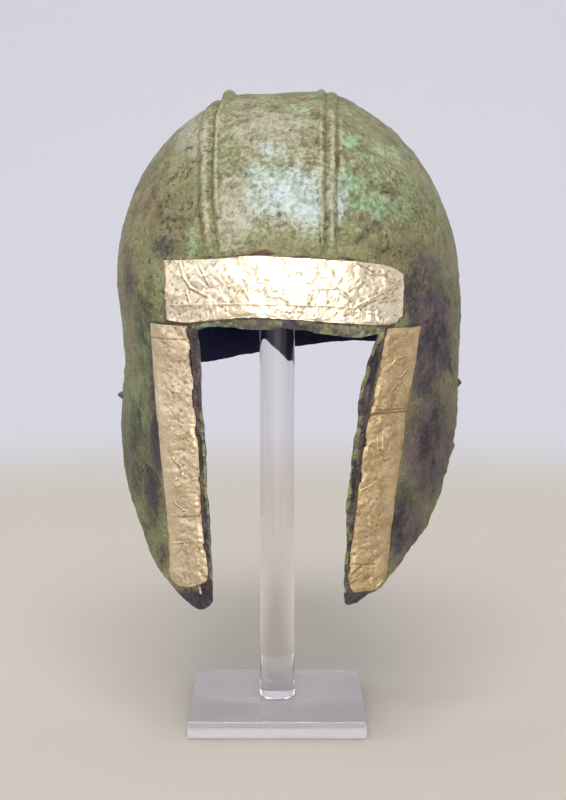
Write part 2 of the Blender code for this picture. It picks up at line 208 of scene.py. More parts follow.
# ---- gold foils, as in the part's source ----
BROW_FOIL = table(
    "x lower upper",
    (-59.6, 237.2, 267.2),
    (-51.0, 236.5, 267.9),
    (-30.0, 238.5, 269.2),
    (-16.0, 240.0, 270.6),
    (10.0, 238.9, 269.6),
    (36.6, 236.6, 267.7),
    (49.5, 235.7, 265.9),
    (57.0, 236.0, 263.6),
    (61.6, 239.5, 260.6),
)
CHEEK_FOIL = "level outer inner"
FOIL_LEFT = table(
    CHEEK_FOIL,
    (234.6, -68.6, -47.6),
    (215.0, -67.6, -45.8),
    (195.0, -65.8, -44.5),
    (175.0, -64.1, -42.9),
    (153.0, -62.1, -41.6),
    (132.0, -60.3, -41.2),
    (112.0, -59.6, -38.8),
    (101.6, -59.2, -39.0),
    (98.3, -58.0, -43.8),
    (96.0, -54.5, -49.0),
)
FOIL_RIGHT_UPPER = table(
    CHEEK_FOIL,
    (233.6, 71.1, 53.4),
    (226.0, 69.8, 51.7),
    (212.0, 68.0, 49.4),
    (195.0, 65.0, 46.0),
    (190.2, 63.8, 45.0),
)
FOIL_RIGHT_LOWER = table(
    CHEEK_FOIL,
    (189.7, 63.6, 44.2),
    (175.0, 62.6, 42.3),
    (154.0, 59.7, 39.7),
    (133.0, 57.3, 37.5),
    (112.0, 55.4, 35.3),
    (100.0, 53.4, 34.2),
    (95.6, 49.0, 36.6),
)
FOIL_SLIVER = table(
    CHEEK_FOIL,
    (97.4, -43.3, -42.1),
    (93.8, -42.6, -41.6),
)

# Raised lines pressed or folded into the foils: from one point to another, in x and level.
STROKE = "x0 level0 x1 level1 width height"
BROW_STROKES = table(
    STROKE,
    (-51.5, 267, -48.5, 259, 0.72, 0.56),
    (-48.5, 259, -45.5, 254.5, 0.72, 0.56),
    (-45.5, 254.5, -36.5, 250.5, 0.72, 0.72),
    (-47.5, 252.5, -45.5, 246.5, 0.5, 0.4),
    (-41, 266.5, -35.5, 255.5, 0.58, 0.4),
    (-31, 254.5, -28, 248.5, 0.43, 0.32),
    (-25.5, 255.5, -20, 257, 0.43, 0.32),
    (-18.5, 255, -22, 250.5, 0.43, 0.36),
    (-18, 254, -15.5, 249.5, 0.43, 0.32),
    (16.5, 254.5, 26, 254.5, 0.43, 0.36),
    (16, 254, 14, 248, 0.43, 0.36),
    (26.5, 255, 35, 248.5, 0.43, 0.4),
    (29, 253, 27.5, 247.5, 0.43, 0.32),
    (47.5, 250.5, 37, 245.5, 0.58, 0.56),
    (39.5, 245.5, 47, 249, 0.5, 0.4),
    (49.5, 247.5, 58, 248.5, 0.5, 0.48),
    (54, 236, 62, 241, 0.65, 0.64),
    (38, 265.5, 45.5, 261.5, 0.58, 0.48),
    (44.5, 261.5, 51.5, 261.5, 0.58, 0.48),
    (51.5, 259, 60, 256, 0.58, 0.48),
    (19.5, 267, 18.5, 262, 0.43, 0.32),
    (18.5, 262, 14, 256, 0.43, 0.32),
    (57.5, 254.5, 54.5, 251.5, 0.43, 0.4),
)
LEFT_STROKES = table(
    STROKE,
    (-68.5, 227, -48.5, 227.5, 0.36, -0.35),
    (-50, 232.5, -48.5, 229, 0.86, 0.48),
    (-55.5, 200.5, -46, 199.5, 0.5, 0.4),
    (-55, 185, -50, 183, 0.58, 0.48),
    (-56.5, 166, -54, 163.5, 0.43, 0.36),
    (-54, 163.5, -52, 162, 0.43, 0.36),
    (-52, 162, -51, 157.5, 0.43, 0.36),
    (-51, 157.5, -49, 156, 0.43, 0.36),
    (-55.5, 141.5, -50.5, 138.5, 0.43, 0.56),
    (-56, 133.5, -42, 136, 0.6, -0.35),
    (-56, 119.5, -48.5, 121.5, 0.5, 0.4),
    (-48.5, 121, -48.5, 115.5, 0.43, 0.32),
)
RIGHT_UPPER_STROKES = table(
    STROKE,
    (56, 215, 57.5, 218, 0.36, 0.4),
    (57.5, 218, 63.5, 219, 0.36, 0.4),
    (60.5, 207.5, 63.5, 211.5, 0.36, 0.4),
    (56, 201.5, 58, 204, 0.36, 0.4),
    (58, 204, 61, 205, 0.36, 0.4),
    (61.5, 204, 63, 200, 0.36, 0.32),
    (46.5, 193.2, 65, 191.8, 0.35, 0.4),
    (46, 191.4, 64, 190.8, 0.35, 0.4),
)
RIGHT_LOWER_STROKES = table(
    STROKE,
    (49, 178, 49, 169, 0.35, 0.32),
    (51.5, 179, 51.5, 170.5, 0.35, 0.28),
    (44.5, 187.5, 48, 189, 0.43, 0.56),
    (38, 142.5, 40.5, 150.5, 0.43, 0.4),
    (40.5, 150.5, 46, 153, 0.43, 0.4),
    (36, 111, 49, 109.5, 0.36, -0.4),
    (48.5, 96.5, 54, 102, 0.58, 0.64),
    (35, 101.5, 40, 103.5, 0.43, 0.4),
)

# ---- patina ----
# Soft patches of colour on the front half, by x and level. The nodes break their edges up.
PATCH = "x level width height strength"
PATCHES = {
    # The pale ice patches are turquoise patina, also a painted sheen of the overhead light on the
    # panel.
    "ice": table(
        PATCH, (2, 303, 23, 17, 0.8), (13, 296, 11, 14, 0.8), (-12, 313, 16, 8, 0.5),
        (-8, 326, 6, 5, 0.6), (30, 298, 4, 14, 0.7)),
    "khaki": table(
        PATCH, (-23, 296, 10, 20, 1.0), (-8, 336, 26, 16, 0.7), (-50, 333, 14, 14, 0.6),
        (-2, 306, 30, 26, 0.5), (78, 181, 4, 2.5, 0.8)),
    "lichen": table(PATCH, (2, 277, 32, 7, 0.6), (74, 296, 10, 14, 0.5), (93, 236, 4, 26, 0.9)),
    "mint": table(
        PATCH, (50, 306, 24, 26, 0.45), (12, 282, 12, 5, 0.45), (-45, 277, 4, 9, 0.6),
        (35, 328, 6, 5, 0.9), (34, 306, 7, 14, 0.8), (43, 297, 12, 6, 0.8), (50, 292, 8, 6, 0.8),
        (8, 347, 9, 5, 0.5), (62, 296, 14, 8, 0.5), (58, 322, 16, 10, 0.45),
        (-4, 316, 14, 8, 0.5), (-36, 235.5, 8, 1.6, 0.8), (42, 230.5, 8, 1.4, 0.8)),
    "umber": table(
        PATCH, (-68, 300, 22, 34, 0.75), (-76, 262, 12, 22, 0.6), (60, 272, 30, 12, 0.6),
        (70, 335, 10, 12, 0.4), (82, 200, 5, 9, 0.9), (92, 236, 5, 22, 0.8)),
    "ink": table(
        PATCH, (-60, 274, 12, 8, 0.75), (-52, 300, 12, 8, 0.35), (-68, 200, 4, 26, 0.7),
        (-66, 172, 5, 30, 0.95), (-69, 146, 7, 20, 0.9), (-80, 152, 9, 20, 0.65),
        (-64, 112, 6, 12, 0.7), (88, 244, 1.4, 3, 1.0), (86, 217, 3, 4, 1.0),
        (60, 118, 6, 10, 0.7), (80, 186, 2.4, 2.6, 1.0), (66, 252, 8, 14, 0.9),
        (75, 203, 6, 10, 0.9), (85, 214, 5, 10, 0.9), (-46, 89, 14, 7, 1.2), (38, 92, 12, 6, 1.2),
        (-44, 225, 3.5, 9, 1.2)),
    "moss": table(
        PATCH, (65, 145, 8, 18, 0.8), (56, 118, 8, 10, 0.5), (-72, 225, 10, 36, 0.9),
        (-78, 180, 12, 40, 0.8), (-72, 135, 12, 26, 0.8), (-52, 286, 8, 10, 0.5)),
    "plum": table(
        PATCH, (72, 112, 12, 14, 0.7), (70, 215, 8, 24, 1.0), (66, 172, 5, 12, 0.8),
        (77, 231, 16, 34, 1.1), (78, 170, 18, 40, 1.0), (62, 128, 20, 24, 0.9),
        (74, 262, 16, 16, 0.7), (-82, 256, 5, 22, 0.7), (-88, 165, 5, 30, 0.5)),
    "rust": table(
        PATCH, (-1, 292, 2.5, 2.5, 0.9), (28, 318, 1.6, 5, 1.0), (20, 306, 1.2, 4, 0.9),
        (-9, 272, 7, 1.7, 1.3), (-42, 320, 3, 6, 0.5)),
    "pits": table(PATCH, (-58, 300, 16, 26, 1.0), (-68, 255, 12, 18, 0.8), (55, 275, 20, 12, 0.6)),
}
# Dark slits, streaks and a scratch: from one point to another, in x and level.
SCARS = table(
    "tint x0 level0 x1 level1 width strength",
    ("ink", 37.5, 277.5, 43.0, 281.5, 2.4, 0.65),
    ("ink", 42.0, 283.5, 49.5, 287.0, 2.0, 0.6),
    ("mint", 38.5, 282.5, 46.0, 290.0, 1.5, 0.5),
    ("ink", 80.0, 224.0, 91.0, 204.0, 1.8, 0.8),
    ("umber", -24.0, 339.2, -17.5, 341.3, 1.4, 0.9),
    ("rust", -23.0, 339.5, -18.5, 341.0, 0.8, 0.5),
    ("rust", 50.0, 302.8, 57.0, 301.2, 1.1, 0.9),
    ("ink", 51.0, 302.4, 56.0, 301.4, 0.7, 1.1),
    ("furrow", -5.5, 302.0, -0.3, 309.0, 0.5, 0.9),
)

# ---- mesh density ----
FRONT_STEP = 0.0092             # rows of the dome's front half, as a share of its half length
BACK_STEP = 0.020               # rows of its back half
LEFT_COLUMNS = 56               # columns from the left edge to the ribs
PANEL_COLUMNS = 32              # columns between the two pairs of ribs
RIGHT_COLUMNS = 60              # columns from the ribs to the right edge
PAIR_COLUMNS = (4, 6, 5, 5, 4)  # columns across one pair, from its outside inwards
BELT_ROWS = 9
CHEEK_ROWS = 72
NAPE_ROWS = 18
NAPE_ANGLE = math.radians(98)
BISECTIONS = 40                 # halvings that find a rib line's place in the grid
HEM_PASSES = 8                  # passes that settle the hem's level and angle together
INNER_TRIANGLES = 34000         # the inside of the wall needs less detail
FOIL_STEP = 0.42                # grid of the foils, mm
FOIL_THICKNESS = 0.16
BROW_FOIL_HEIGHT = 30.0
BROW_SEED = 4
SCATTER = 0.42                  # how far a crease's corner strays, as a share of the pitch
EDGE_LIFT = 0.70                # the foils' heights over the smooth wall, in mm
PRESSED_LIFT = 0.32
LEAST_LIFT = 0.30
FLOOR_SHARPNESS = 6.0           # how sharply the least lift takes over
PRESSED_WIDTH = 2.4
EDGE_CURL = 0.25
CREASE = "pitch height stretch at_edge"
BROW_CREASES = table(CREASE, (8.0, 0.50, 1.2, 1), (3.6, 0.46, 1.1, 1), (1.9, 0.27, 1.0, 1),
                     (1.0, 0.09, 1.0, 1))
CHEEK_CREASES = table(CREASE, (5.0, 0.45, 1.6, 0.35), (2.3, 0.42, 2.2, 0.15), (1.3, 0.20, 1.4, 0))
CHEEK_GRAIN = table(CREASE, (0.9, 0.04, 1.2, 1))[0]


# ---- small helpers ----
def smoothstep(low, high, value):
    share = np.clip((value - low) / (high - low), 0.0, 1.0)
    return share * share * (3 - 2 * share)


def bell(off, width):
    return np.exp(-(off / width) ** 2)


def signed_power(value, power):
    return np.sign(value) * np.abs(value) ** power


def read_table(rows, at, column):
    """Smooth values of one column of a table at places along its first column."""
    keys, values = np.array(sorted((row[0], getattr(row, column)) for row in rows), float).T
    last = len(keys) - 1
    places = np.arange(last + 1)
    before, after = np.maximum(places - 1, 0), np.minimum(places + 1, last)
    slopes = (values[after] - values[before]) / (keys[after] - keys[before])
    at = np.clip(at, keys[0], keys[-1])
    here = np.clip(np.searchsorted(keys, at, side="right") - 1, 0, last - 1)
    span = keys[here + 1] - keys[here]
    share = (at - keys[here]) / span
    a, b = values[here], values[here + 1]
    rise = share * share * (3 - 2 * share)
    lead_in = share * (1 - share) ** 2 * span * slopes[here]
    lead_out = share * share * (share - 1) * span * slopes[here + 1]
    return a + (b - a) * rise + lead_in + lead_out


def field(points, size, octaves=1, seed=0.0):
    """Fractal noise of about -1 to 1 at points in mm; size is the width of its largest bumps."""
    shift = Vector((seed * 17.3, seed * 5.9, seed * 11.1))
    return np.array([noise.fractal(Vector(p) / size + shift, 1.0, 2.0, octaves) for p in points])


def layers(points, rows):
    """Sum of a table's layers of noise."""
    return sum(row.height * field(points, row.size, row.octaves, row.seed) for row in rows)


def line_noise(places, size, octaves=2, seed=0.0):
    """Noise along a line, for worn edges."""
    places = np.asarray(places, float)
    spots = [(place, 3.7, 1.9) for place in places.ravel()]
    return field(spots, size, octaves, seed).reshape(places.shape)


def to_world(points):
    """Points of the helmet's own frame in mm, as world coordinates in metres."""
    cos, sin = math.cos(HELMET_TURN), math.sin(HELMET_TURN)
    turn = np.array(((cos, -sin, 0.0), (sin, cos, 0.0), (0.0, 0.0, 1.0)))
    return (points @ turn.T + np.array(HELMET_AT)) * MM


def put(name, data):
    """A new object in the scene."""
    made = bpy.data.objects.new(name, data)
    bpy.context.scene.collection.objects.link(made)
    return made


def new_object(name, points, faces):
    mesh = bpy.data.meshes.new(name)
    mesh.from_pydata([tuple(point) for point in points], [], faces)
    mesh.update()
    return put(name, mesh)


def add_sheet(piece, thickness):
    """Give a skin its thickness in mm, inwards."""
    sheet = piece.modifiers.new("sheet", "SOLIDIFY")
    sheet.thickness = thickness * MM
    sheet.offset = -1
    return sheet


def apply_modifiers(piece):
    """Turn a piece and its modifiers into one plain mesh."""
    bpy.context.view_layer.update()
    depsgraph = bpy.context.evaluated_depsgraph_get()
    mesh = bpy.data.meshes.new_from_object(piece.evaluated_get(depsgraph))
    old = piece.data
    piece.modifiers.clear()
    piece.data = mesh
    bpy.data.meshes.remove(old)


def grid_faces(index):
    """Four-cornered faces between the neighbours in a grid of vertex numbers."""
    corners = (index[:-1, :-1], index[:-1, 1:], index[1:, 1:], index[1:, :-1])
    return np.stack(corners, axis=-1).reshape(-1, 4).tolist()


def set_attribute(mesh, name, values):
    attribute = mesh.attributes.new(name, "FLOAT", "POINT")
    attribute.data.foreach_set("value", np.asarray(values, np.float32))


def finish_piece(piece, sharp_angle, slot, *nodes):
    """Shade a piece and hang it on the part's body, in place of its CAD nodes."""
    piece.data.shade_smooth()
    piece.data.set_sharp_from_angle(angle=math.radians(sharp_angle))
    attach(piece, BODY)
    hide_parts(*nodes)


# ---- the wall's surface ----
def section(level):
    level = np.minimum(level, EQUATOR)
    columns = ("shift", "half_width", "front_depth", "back_depth")
    return [read_table(SECTIONS, level, column) for column in columns]


def wall_point(angle, level, radius=1.0):
    """Points of the smooth wall; the angle runs from the front towards +X, in radians."""
    shift, half_width, front, back = section(level)
    depth = np.where(np.cos(angle) > 0, front, back)
    x = shift + half_width * radius * signed_power(np.sin(angle), 2 / PLAN_POWER)
    y = -depth * radius * signed_power(np.cos(angle), 2 / PLAN_POWER)
    return np.stack(np.broadcast_arrays(x, y, level), axis=-1)


def dome_radius(level):
    rise = np.maximum(level - EQUATOR, 0.0) / CROWN_RISE
    return (1 - rise ** DOME_POWER) ** (1 / DOME_POWER)


def angle_at(x, level):
    """Angle at which the front half of the wall has this x."""
    shift, half_width, _, _ = section(level)
    sine = np.abs(x - shift) / (half_width * dome_radius(level))
    return np.sign(x - shift) * np.arcsin(np.minimum(sine, 1.0) ** (PLAN_POWER / 2))


def crown_point(across, along):
    """Points of the dome and their angles, from a square grid of -1 to 1 each way."""
    u = across * np.sqrt(1 - along * along / 2)
    v = along * np.sqrt(1 - across * across / 2)
    turn = np.hypot(u, v) * math.pi / 2
    angle = np.arctan2(u, -v)
    radius = np.abs(np.sin(turn)) ** (2 / DOME_POWER)
    rise = np.maximum(np.cos(turn), 0.0) ** (2 / DOME_POWER)
    points = wall_point(angle, np.full(angle.shape, EQUATOR), radius)
    points[..., 2] = EQUATOR + CROWN_RISE * rise
    return points, angle


def face_edge(level, side):
    """The worn edge of the face opening: the right one is the rougher."""
    wear, pitch, seed = {"left": (0.4, 12.0, 2.0), "right": (1.1, 11.0, 5.0)}[side]
    level = np.asarray(level, float)
    ragged = wear * line_noise(level, pitch, 3, seed)
    return read_table(FACE_EDGES, level, side) + ragged


def brow_edge(x):
    return read_table(BROW_EDGE, x, "level") + 0.6 * line_noise(x, 6.0, 3, seed=8.0)


def hem_level(angle):
    """The worn hem: chipped on the right side, smoother on the left and at the back."""
    degrees = np.degrees(np.abs(angle))
    right = angle > 0
    smooth_hem = np.where(right, read_table(HEMS, degrees, "right"),
                          read_table(HEMS, degrees, "left"))
    wear = HEM_WEAR + RIGHT_HEM_WEAR * right * smoothstep(120, 95, degrees)
    return smooth_hem + wear * line_noise(degrees, 4.5, 4, seed=11.0)


def rib_lines(y):
    """The x of every rib line at depths y, as a dict for each side."""
    left, right = ({name: read_table(rows, y, name) for name in rows[0]._fields[1:]}
                   for rows in (LEFT_RIBS, RIGHT_RIBS))
    left["foot"] = left["ridge"] + INNER_FOOT * (left["ridge"] - left["furrow"])
    right["foot"] = right["ridge"] - INNER_FOOT * (right["furrow"] - right["ridge"])
    left["shoulder"] = left["outer_furrow"] - SHOULDER
    right["shoulder"] = right["outer_furrow"] + SHOULDER
    return {"left": left, "right": right}


def lobe(x, foot, crest, far_foot):
    """1 along a rib's crest, falling smoothly to 0 at the lines of its two feet."""
    side = np.where((x - crest) * (foot - crest) > 0, foot, far_foot)
    off = np.clip((x - crest) / (side - crest), 0.0, 1.0)
    return (1 - off * off) ** 1.35


def relief(points):
    """Rib height over the sunk panel, with painted shade for the furrows and wear, also a painted
    highlight, for the crests.
    """
    x, y, level = points.T
    lines = rib_lines(y)
    left, right = lines["left"], lines["right"]
    share = smoothstep(0.0, RIB_MEET_Y, np.minimum(y, 0.0))
    height, crest = np.zeros_like(x), np.zeros_like(x)
    for rib in RIBS:
        shape = lobe(x, *(lines[rib.side][line] for line in (rib.foot, rib.crest, rib.far_foot)))
        height += shape * (rib.crown + (rib.brow - rib.crown) * share)
        crest += shape ** 2
    height *= 1 + layers(points, RIB_WEAR)
    furrow = np.zeros_like(x)
    for line in (left["outer_furrow"], left["furrow"], right["furrow"], right["outer_furrow"]):
        furrow += bell(x - line, FURROW_WIDTH)
    across = (2 * x - left["ridge"] - right["ridge"]) / (right["ridge"] - left["ridge"])
    sink = PANEL_SINK * np.maximum(1 - across * across, 0.0)
    fade = np.where(y < 0, smoothstep(*RIB_FADE, level), smoothstep(*NAPE_FADE, level))
    # The furrows' mark is painted shade; the crests carry wear, also a painted highlight.
    marked = FURROW_MARK * np.where(y < 0, smoothstep(*FURROW_MARK_FADE, level), fade)
    return (height - FURROW_DEPTH * furrow - sink) * fade, furrow * marked, crest * fade


def dents(points):
    """Broad dents and hammering that the wall and the foils on it share, in mm."""
    x, y, level = points.T
    away = np.linalg.norm(points - FLAT_AT, axis=1)
    flattened = FLAT_DEPTH * bell(away, FLAT_REACH) * smoothstep(*FLAT_FROM_X, x)
    swell = SWELL_HEIGHT * bell(x - SWELL_X, SWELL_WIDTH) * smoothstep(*SWELL_LEVELS, level)
    return layers(points, HAMMERING) + swell * smoothstep(*SWELL_DEPTHS, y) - flattened


# ---- the bronze wall ----
def crown_columns(along):
    """Grid columns of every row of the dome; each rib line gets a column of its own."""
    def across_at(side, name):
        low, high = np.full(along.shape, -1.0), np.full(along.shape, 1.0)
        for _ in range(BISECTIONS):
            middle = (low + high) / 2
            points, _ = crown_point(middle, along)
            short = points[:, 0] < rib_lines(points[:, 1])[side][name]
            low, high = np.where(short, middle, low), np.where(short, high, middle)
        return (low + high) / 2

    names = ("shoulder", "outer_furrow", "bead", "furrow", "ridge", "foot")
    knots = [np.full(along.shape, -1.0)]
    knots += [across_at("left", name) for name in names]
    knots += [across_at("right", name) for name in reversed(names)]
    knots += [np.full(along.shape, 1.0)]
    counts = (LEFT_COLUMNS, *PAIR_COLUMNS, PANEL_COLUMNS, *reversed(PAIR_COLUMNS), RIGHT_COLUMNS)
    columns = [knots[0]]
    for start, end, count in zip(knots, knots[1:], counts):
        columns += [start + (end - start) * (k + 1) / count for k in range(count)]
    return np.stack(columns, axis=1)


def stitch(faces, first, second):
    """Faces between two columns of vertices, of which one may be several times finer."""
    coarse = min(len(first), len(second)) - 1
    a_step, b_step = (len(first) - 1) // coarse, (len(second) - 1) // coarse
    for r in range(coarse):
        side = first[r * a_step:(r + 1) * a_step + 1]
        other = second[r * b_step:(r + 1) * b_step + 1]
        faces.append([*side, *reversed(other)])


def wall_skin():
    """Smooth points and faces of the wall's outer skin: dome, belt and skirt."""
    front_rows = np.arange(-1.0, 0.0, FRONT_STEP)
    back_rows = np.linspace(0.0, 1.0, round(1 / BACK_STEP) + 1)
    along = np.concatenate([front_rows, back_rows])
    across = crown_columns(along)
    crown, crown_angles = crown_point(across, np.broadcast_to(along[:, None], across.shape))
    rows, width = across.shape
    index = np.arange(rows * width).reshape(rows, width)
    faces = grid_faces(index)

    # The dome's edge as one loop, from the back round the left side, front and right side.
    bottom, last = rows - 1, width - 1
    rim = [(bottom, i) for i in range(last // 2, 0, -1)]
    rim += [(j, 0) for j in range(bottom, 0, -1)]
    rim += [(0, i) for i in range(last)]
    rim += [(j, last) for j in range(bottom)]
    rim += [(bottom, i) for i in range(last, last // 2, -1)]
    angles = np.array([crown_angles[spot] for spot in rim])
    angles[0] -= 2 * math.pi if angles[0] > 0 else 0.0

    top = FACE_EDGES[0]
    left_at, right_at = (int(np.argmin(np.abs(angles - angle_at(x, top.level))))
                         for x in (top.left, top.right))
    start, end = angles[0], angles[0] + 2 * math.pi
    left_from, right_from = angles[left_at], angles[right_at]

    def angle_on(level):
        """Angle of every column at its own level: the corner columns follow the face opening."""
        edge = np.minimum(level, top.level)
        left, right = (angle_at(face_edge(edge, side), edge) for side in ("left", "right"))
        before = start + (angles - start) * (left - start) / (left_from - start)
        between = left + (angles - left_from) * (right - left) / (right_from - left_from)
        beyond = right + (angles - right_from) * (end - right) / (end - right_from)
        moved = np.where(angles <= right_from, between, beyond)
        moved = np.where(angles < left_from, before, moved)
        settled = np.where(level > top.level, smoothstep(EQUATOR, top.level, level), 1.0)
        return angles + (moved - angles) * settled

    count = len(rim)
    every = np.arange(count)
    brow_level = np.full(count, top.level)
    brow = brow_edge(wall_point(angle_on(brow_level), brow_level)[:, 0])
    hem = brow.copy()
    for _ in range(HEM_PASSES):
        hem = hem_level(np.remainder(angle_on(hem) + math.pi, 2 * math.pi) - math.pi)
    open_front = (every > left_at) & (every < right_at)
    is_nape = np.abs(np.remainder(angles + math.pi, 2 * math.pi) - math.pi) > NAPE_ANGLE

    points, columns = [crown.reshape(-1, 3)], [[int(index[spot])] for spot in rim]
    used = rows * width

    def add_row(level, members):
        """One row of new points under the columns that take part in it."""
        nonlocal used
        row = wall_point(angle_on(level), level)
        for k in members:
            columns[k].append(used)
            used += 1
        points.append(row[members])

    for r in range(1, BELT_ROWS + 1):
        add_row(EQUATOR + (brow - EQUATOR) * r / BELT_ROWS, every)
    for r in range(1, CHEEK_ROWS + 1):
        members = every[~open_front]
        if r % (CHEEK_ROWS // NAPE_ROWS):
            members = every[~open_front & ~is_nape]
        add_row(brow + (hem - brow) * r / CHEEK_ROWS, members)
    for k in range(count):
        first, second = columns[k], columns[(k + 1) % count]
        stitch(faces, first[:BELT_ROWS + 1], second[:BELT_ROWS + 1])
        if not (open_front[k] or open_front[(k + 1) % count]):
            if k != left_at or (k + 1) % count != right_at:
                stitch(faces, first[BELT_ROWS:], second[BELT_ROWS:])
    return np.concatenate(points), faces


def edge_distance(points):
    """Distance in mm from the face opening's edge, for points on the front; large elsewhere."""
    x, y, level = points.T
    over = level - read_table(BROW_EDGE, x, "level")
    aside = np.maximum(read_table(FACE_EDGES, level, "left") - x,
                       x - read_table(FACE_EDGES, level, "right"))
    distance = np.where(aside > 0, np.hypot(np.maximum(aside, 0), np.maximum(over, 0)), over)
    return np.where(y < FRONT_Y, distance, ELSEWHERE), aside


def under_foil(points):
    """1 where a foil lies on the bronze, with a soft edge, and the distance inside its outline."""
    x, y, level = points.T
    upper, lower = read_table(BROW_FOIL, x, "upper"), read_table(BROW_FOIL, x, "lower")
    inside = np.minimum.reduce([upper - level, level - lower,
                                x - BROW_FOIL[0].x, BROW_FOIL[-1].x - x])
    for strip in (FOIL_LEFT, FOIL_RIGHT_UPPER, FOIL_RIGHT_LOWER):
        outer, inner = read_table(strip, level, "outer"), read_table(strip, level, "inner")
        within = np.minimum.reduce([np.maximum(outer, inner) - x, x - np.minimum(outer, inner),
                                    strip[0].level - level, level - strip[-1].level])
        inside = np.maximum(inside, within)
    return smoothstep(-1.5, 0.0, np.where(y < 0, inside, -ELSEWHERE)), inside


def wall_relief(points):
    """Height of everything on the smooth wall in mm, with the marks that steer its colour."""
    x, y, level = points.T
    ribs, furrow, crest = relief(points)
    distance, _ = edge_distance(points)
    covered, inside = under_foil(points)

    foot = bell(level - PANEL_FOOT, 8.0) * smoothstep(-40, -30, x) * smoothstep(64, 50, x)
    rugged = smoothstep(*RUGGED_FROM_X, x) * smoothstep(268, 250, level) * smoothstep(40, 0, y)
    scabby = smoothstep(-0.25, 0.45, layers(points, SCAB_AREAS))
    rough = layers(points, CRUST) + foot * (y < FRONT_Y) * layers(points, FOOT_CRUST)
    rough += rugged * layers(points, RUGGED_CRUST)
    rough += SCAB_HEIGHT * smoothstep(0.15, 0.55, layers(points, SCABS)) * scabby
    height = ribs + dents(points) + rough * (1 - FOIL_CALM * covered)

    # A rolled, lumpy rim round the face opening; the right side is the rougher.
    lumps = 0.5 + 0.6 * layers(points, EDGE_LUMPS)
    height += bell(distance, 2.6) * (0.35 + lumps * np.where(x > 20, 1.1, 0.45))
    height -= 0.5 * bell(distance, 0.7)

    # Crust along the top of the brow foil, with a crack between it and the foil.
    over_foil = level - read_table(BROW_FOIL, x, "upper")
    reach = smoothstep(-48, -38, x) * smoothstep(52, 30, x) * (y < FRONT_Y)
    wander = layers(points, CRACK_WANDER)
    crack = reach * bell(over_foil - 1.0 - 0.6 * wander, 0.7)
    height += reach * bell(over_foil - 3.4 - wander, 1.4) * (0.7 + 1.3 * lumps) - 0.5 * crack

    # Painted shadow just outside every foil's edge, added to the furrow tint.
    foil_edge_shade = bell(inside + 0.4, 0.7) * (y < 0)
    # Pale colour on the rib crests and along the shoulder beside the right outer furrow: wear, also
    # a painted highlight.
    edge = 0.8 * bell(x - read_table(RIGHT_RIBS, y, "outer_furrow") - 2.0, 0.8)
    worn = 0.9 * (crest + edge) * smoothstep(-20, -70, y) * smoothstep(268, 284, level)
    marks = {"furrow": furrow + 0.8 * foil_edge_shade, "worn": worn,
             "ink": 0.9 * crack * smoothstep(-0.35, 0.1, wander),
             "rust": 1.3 * crack * smoothstep(0.1, -0.35, wander)}
    return height, {tint: np.clip(strength, 0, 1) for tint, strength in marks.items()}


def segment_distance(x, level, line):
    """Distance of points from the line between a table row's two ends."""
    dx, dl = line.x1 - line.x0, line.level1 - line.level0
    along = ((x - line.x0) * dx + (level - line.level0) * dl) / (dx * dx + dl * dl)
    along = np.clip(along, 0.0, 1.0)
    return np.hypot(x - line.x0 - along * dx, level - line.level0 - along * dl)


def patch_marks(points, marks):
    """Strength of every tint: to the marks, add patches, scars, edges, painted shadow by the foils
    and the plain back.
    """
    x, y, level = points.T

    def deepen(tint, strength):
        marks[tint] = np.maximum(marks.get(tint, np.zeros_like(x)), strength)

    front = smoothstep(25.0, -15.0, y)
    for tint, patches in PATCHES.items():
        for patch in patches:
            off = ((x - patch.x) / patch.width) ** 2 + ((level - patch.level) / patch.height) ** 2
            deepen(tint, patch.strength * np.exp(-off) * front)
    wander = layers(points, SCAR_WANDER)
    for scar in SCARS:
        off = segment_distance(x + wander, level - wander, scar)
        deepen(scar.tint, scar.strength * bell(off, scar.width) * front)

    # Bare bronze between the foils and the face opening: dark, partly with painted shade, and pale
    # green lumps at its edge.
    distance, aside = edge_distance(points)
    beside = (aside > 0) & (level < 232)
    lumps = layers(points, EDGE_LUMPS)
    under_brow = np.where(~beside & (level < 242), smoothstep(7.0, 2.5, distance), 0.0)
    # Painted shade in the middle of the strip under the brow foil.
    shadow = smoothstep(20.0, 0.0, np.abs(x - 4.0))
    deepen("plum", np.where(beside, smoothstep(9.0, 4.0, distance), 0.75 * under_brow))
    # Painted shadow: a dark line along the cheek foils' inner edges.
    deepen("ink", bell(distance - 5.5, 1.4) * beside)
    # Dark over the strip: the painted shade in its middle, and darker crust between its lumps.
    deepen("ink", 0.75 * under_brow * np.maximum(shadow, 0.5 * smoothstep(0.15, -0.25, lumps)))
    # Pale green on the lumps under the brow: crust, also a painted highlight.
    deepen("lichen", 0.8 * under_brow * smoothstep(-0.1, 0.25, lumps))
    _, inside = under_foil(points)
    # Painted shadow: a dark line along the brow foil's lower edge.
    deepen("ink", bell(inside + 0.3, 0.9) * (y < 0) * (level < 243) * ~beside)
    lip = 0.7 * bell(distance, 1.6) * beside * smoothstep(96, 112, level)
    deepen("lichen", lip * np.where(x < 0, smoothstep(212, 185, level), 1.0))
    deepen("lichen", smoothstep(-0.2, 0.3, lumps) * bell(distance, 3.2) * beside * (x > 0))

    behind = smoothstep(-10.0, 30.0, y)
    deepen("moss", 0.45 * behind * smoothstep(60, -60, x))
    deepen("plum", 0.45 * behind * smoothstep(-60, 60, x))
    return marks


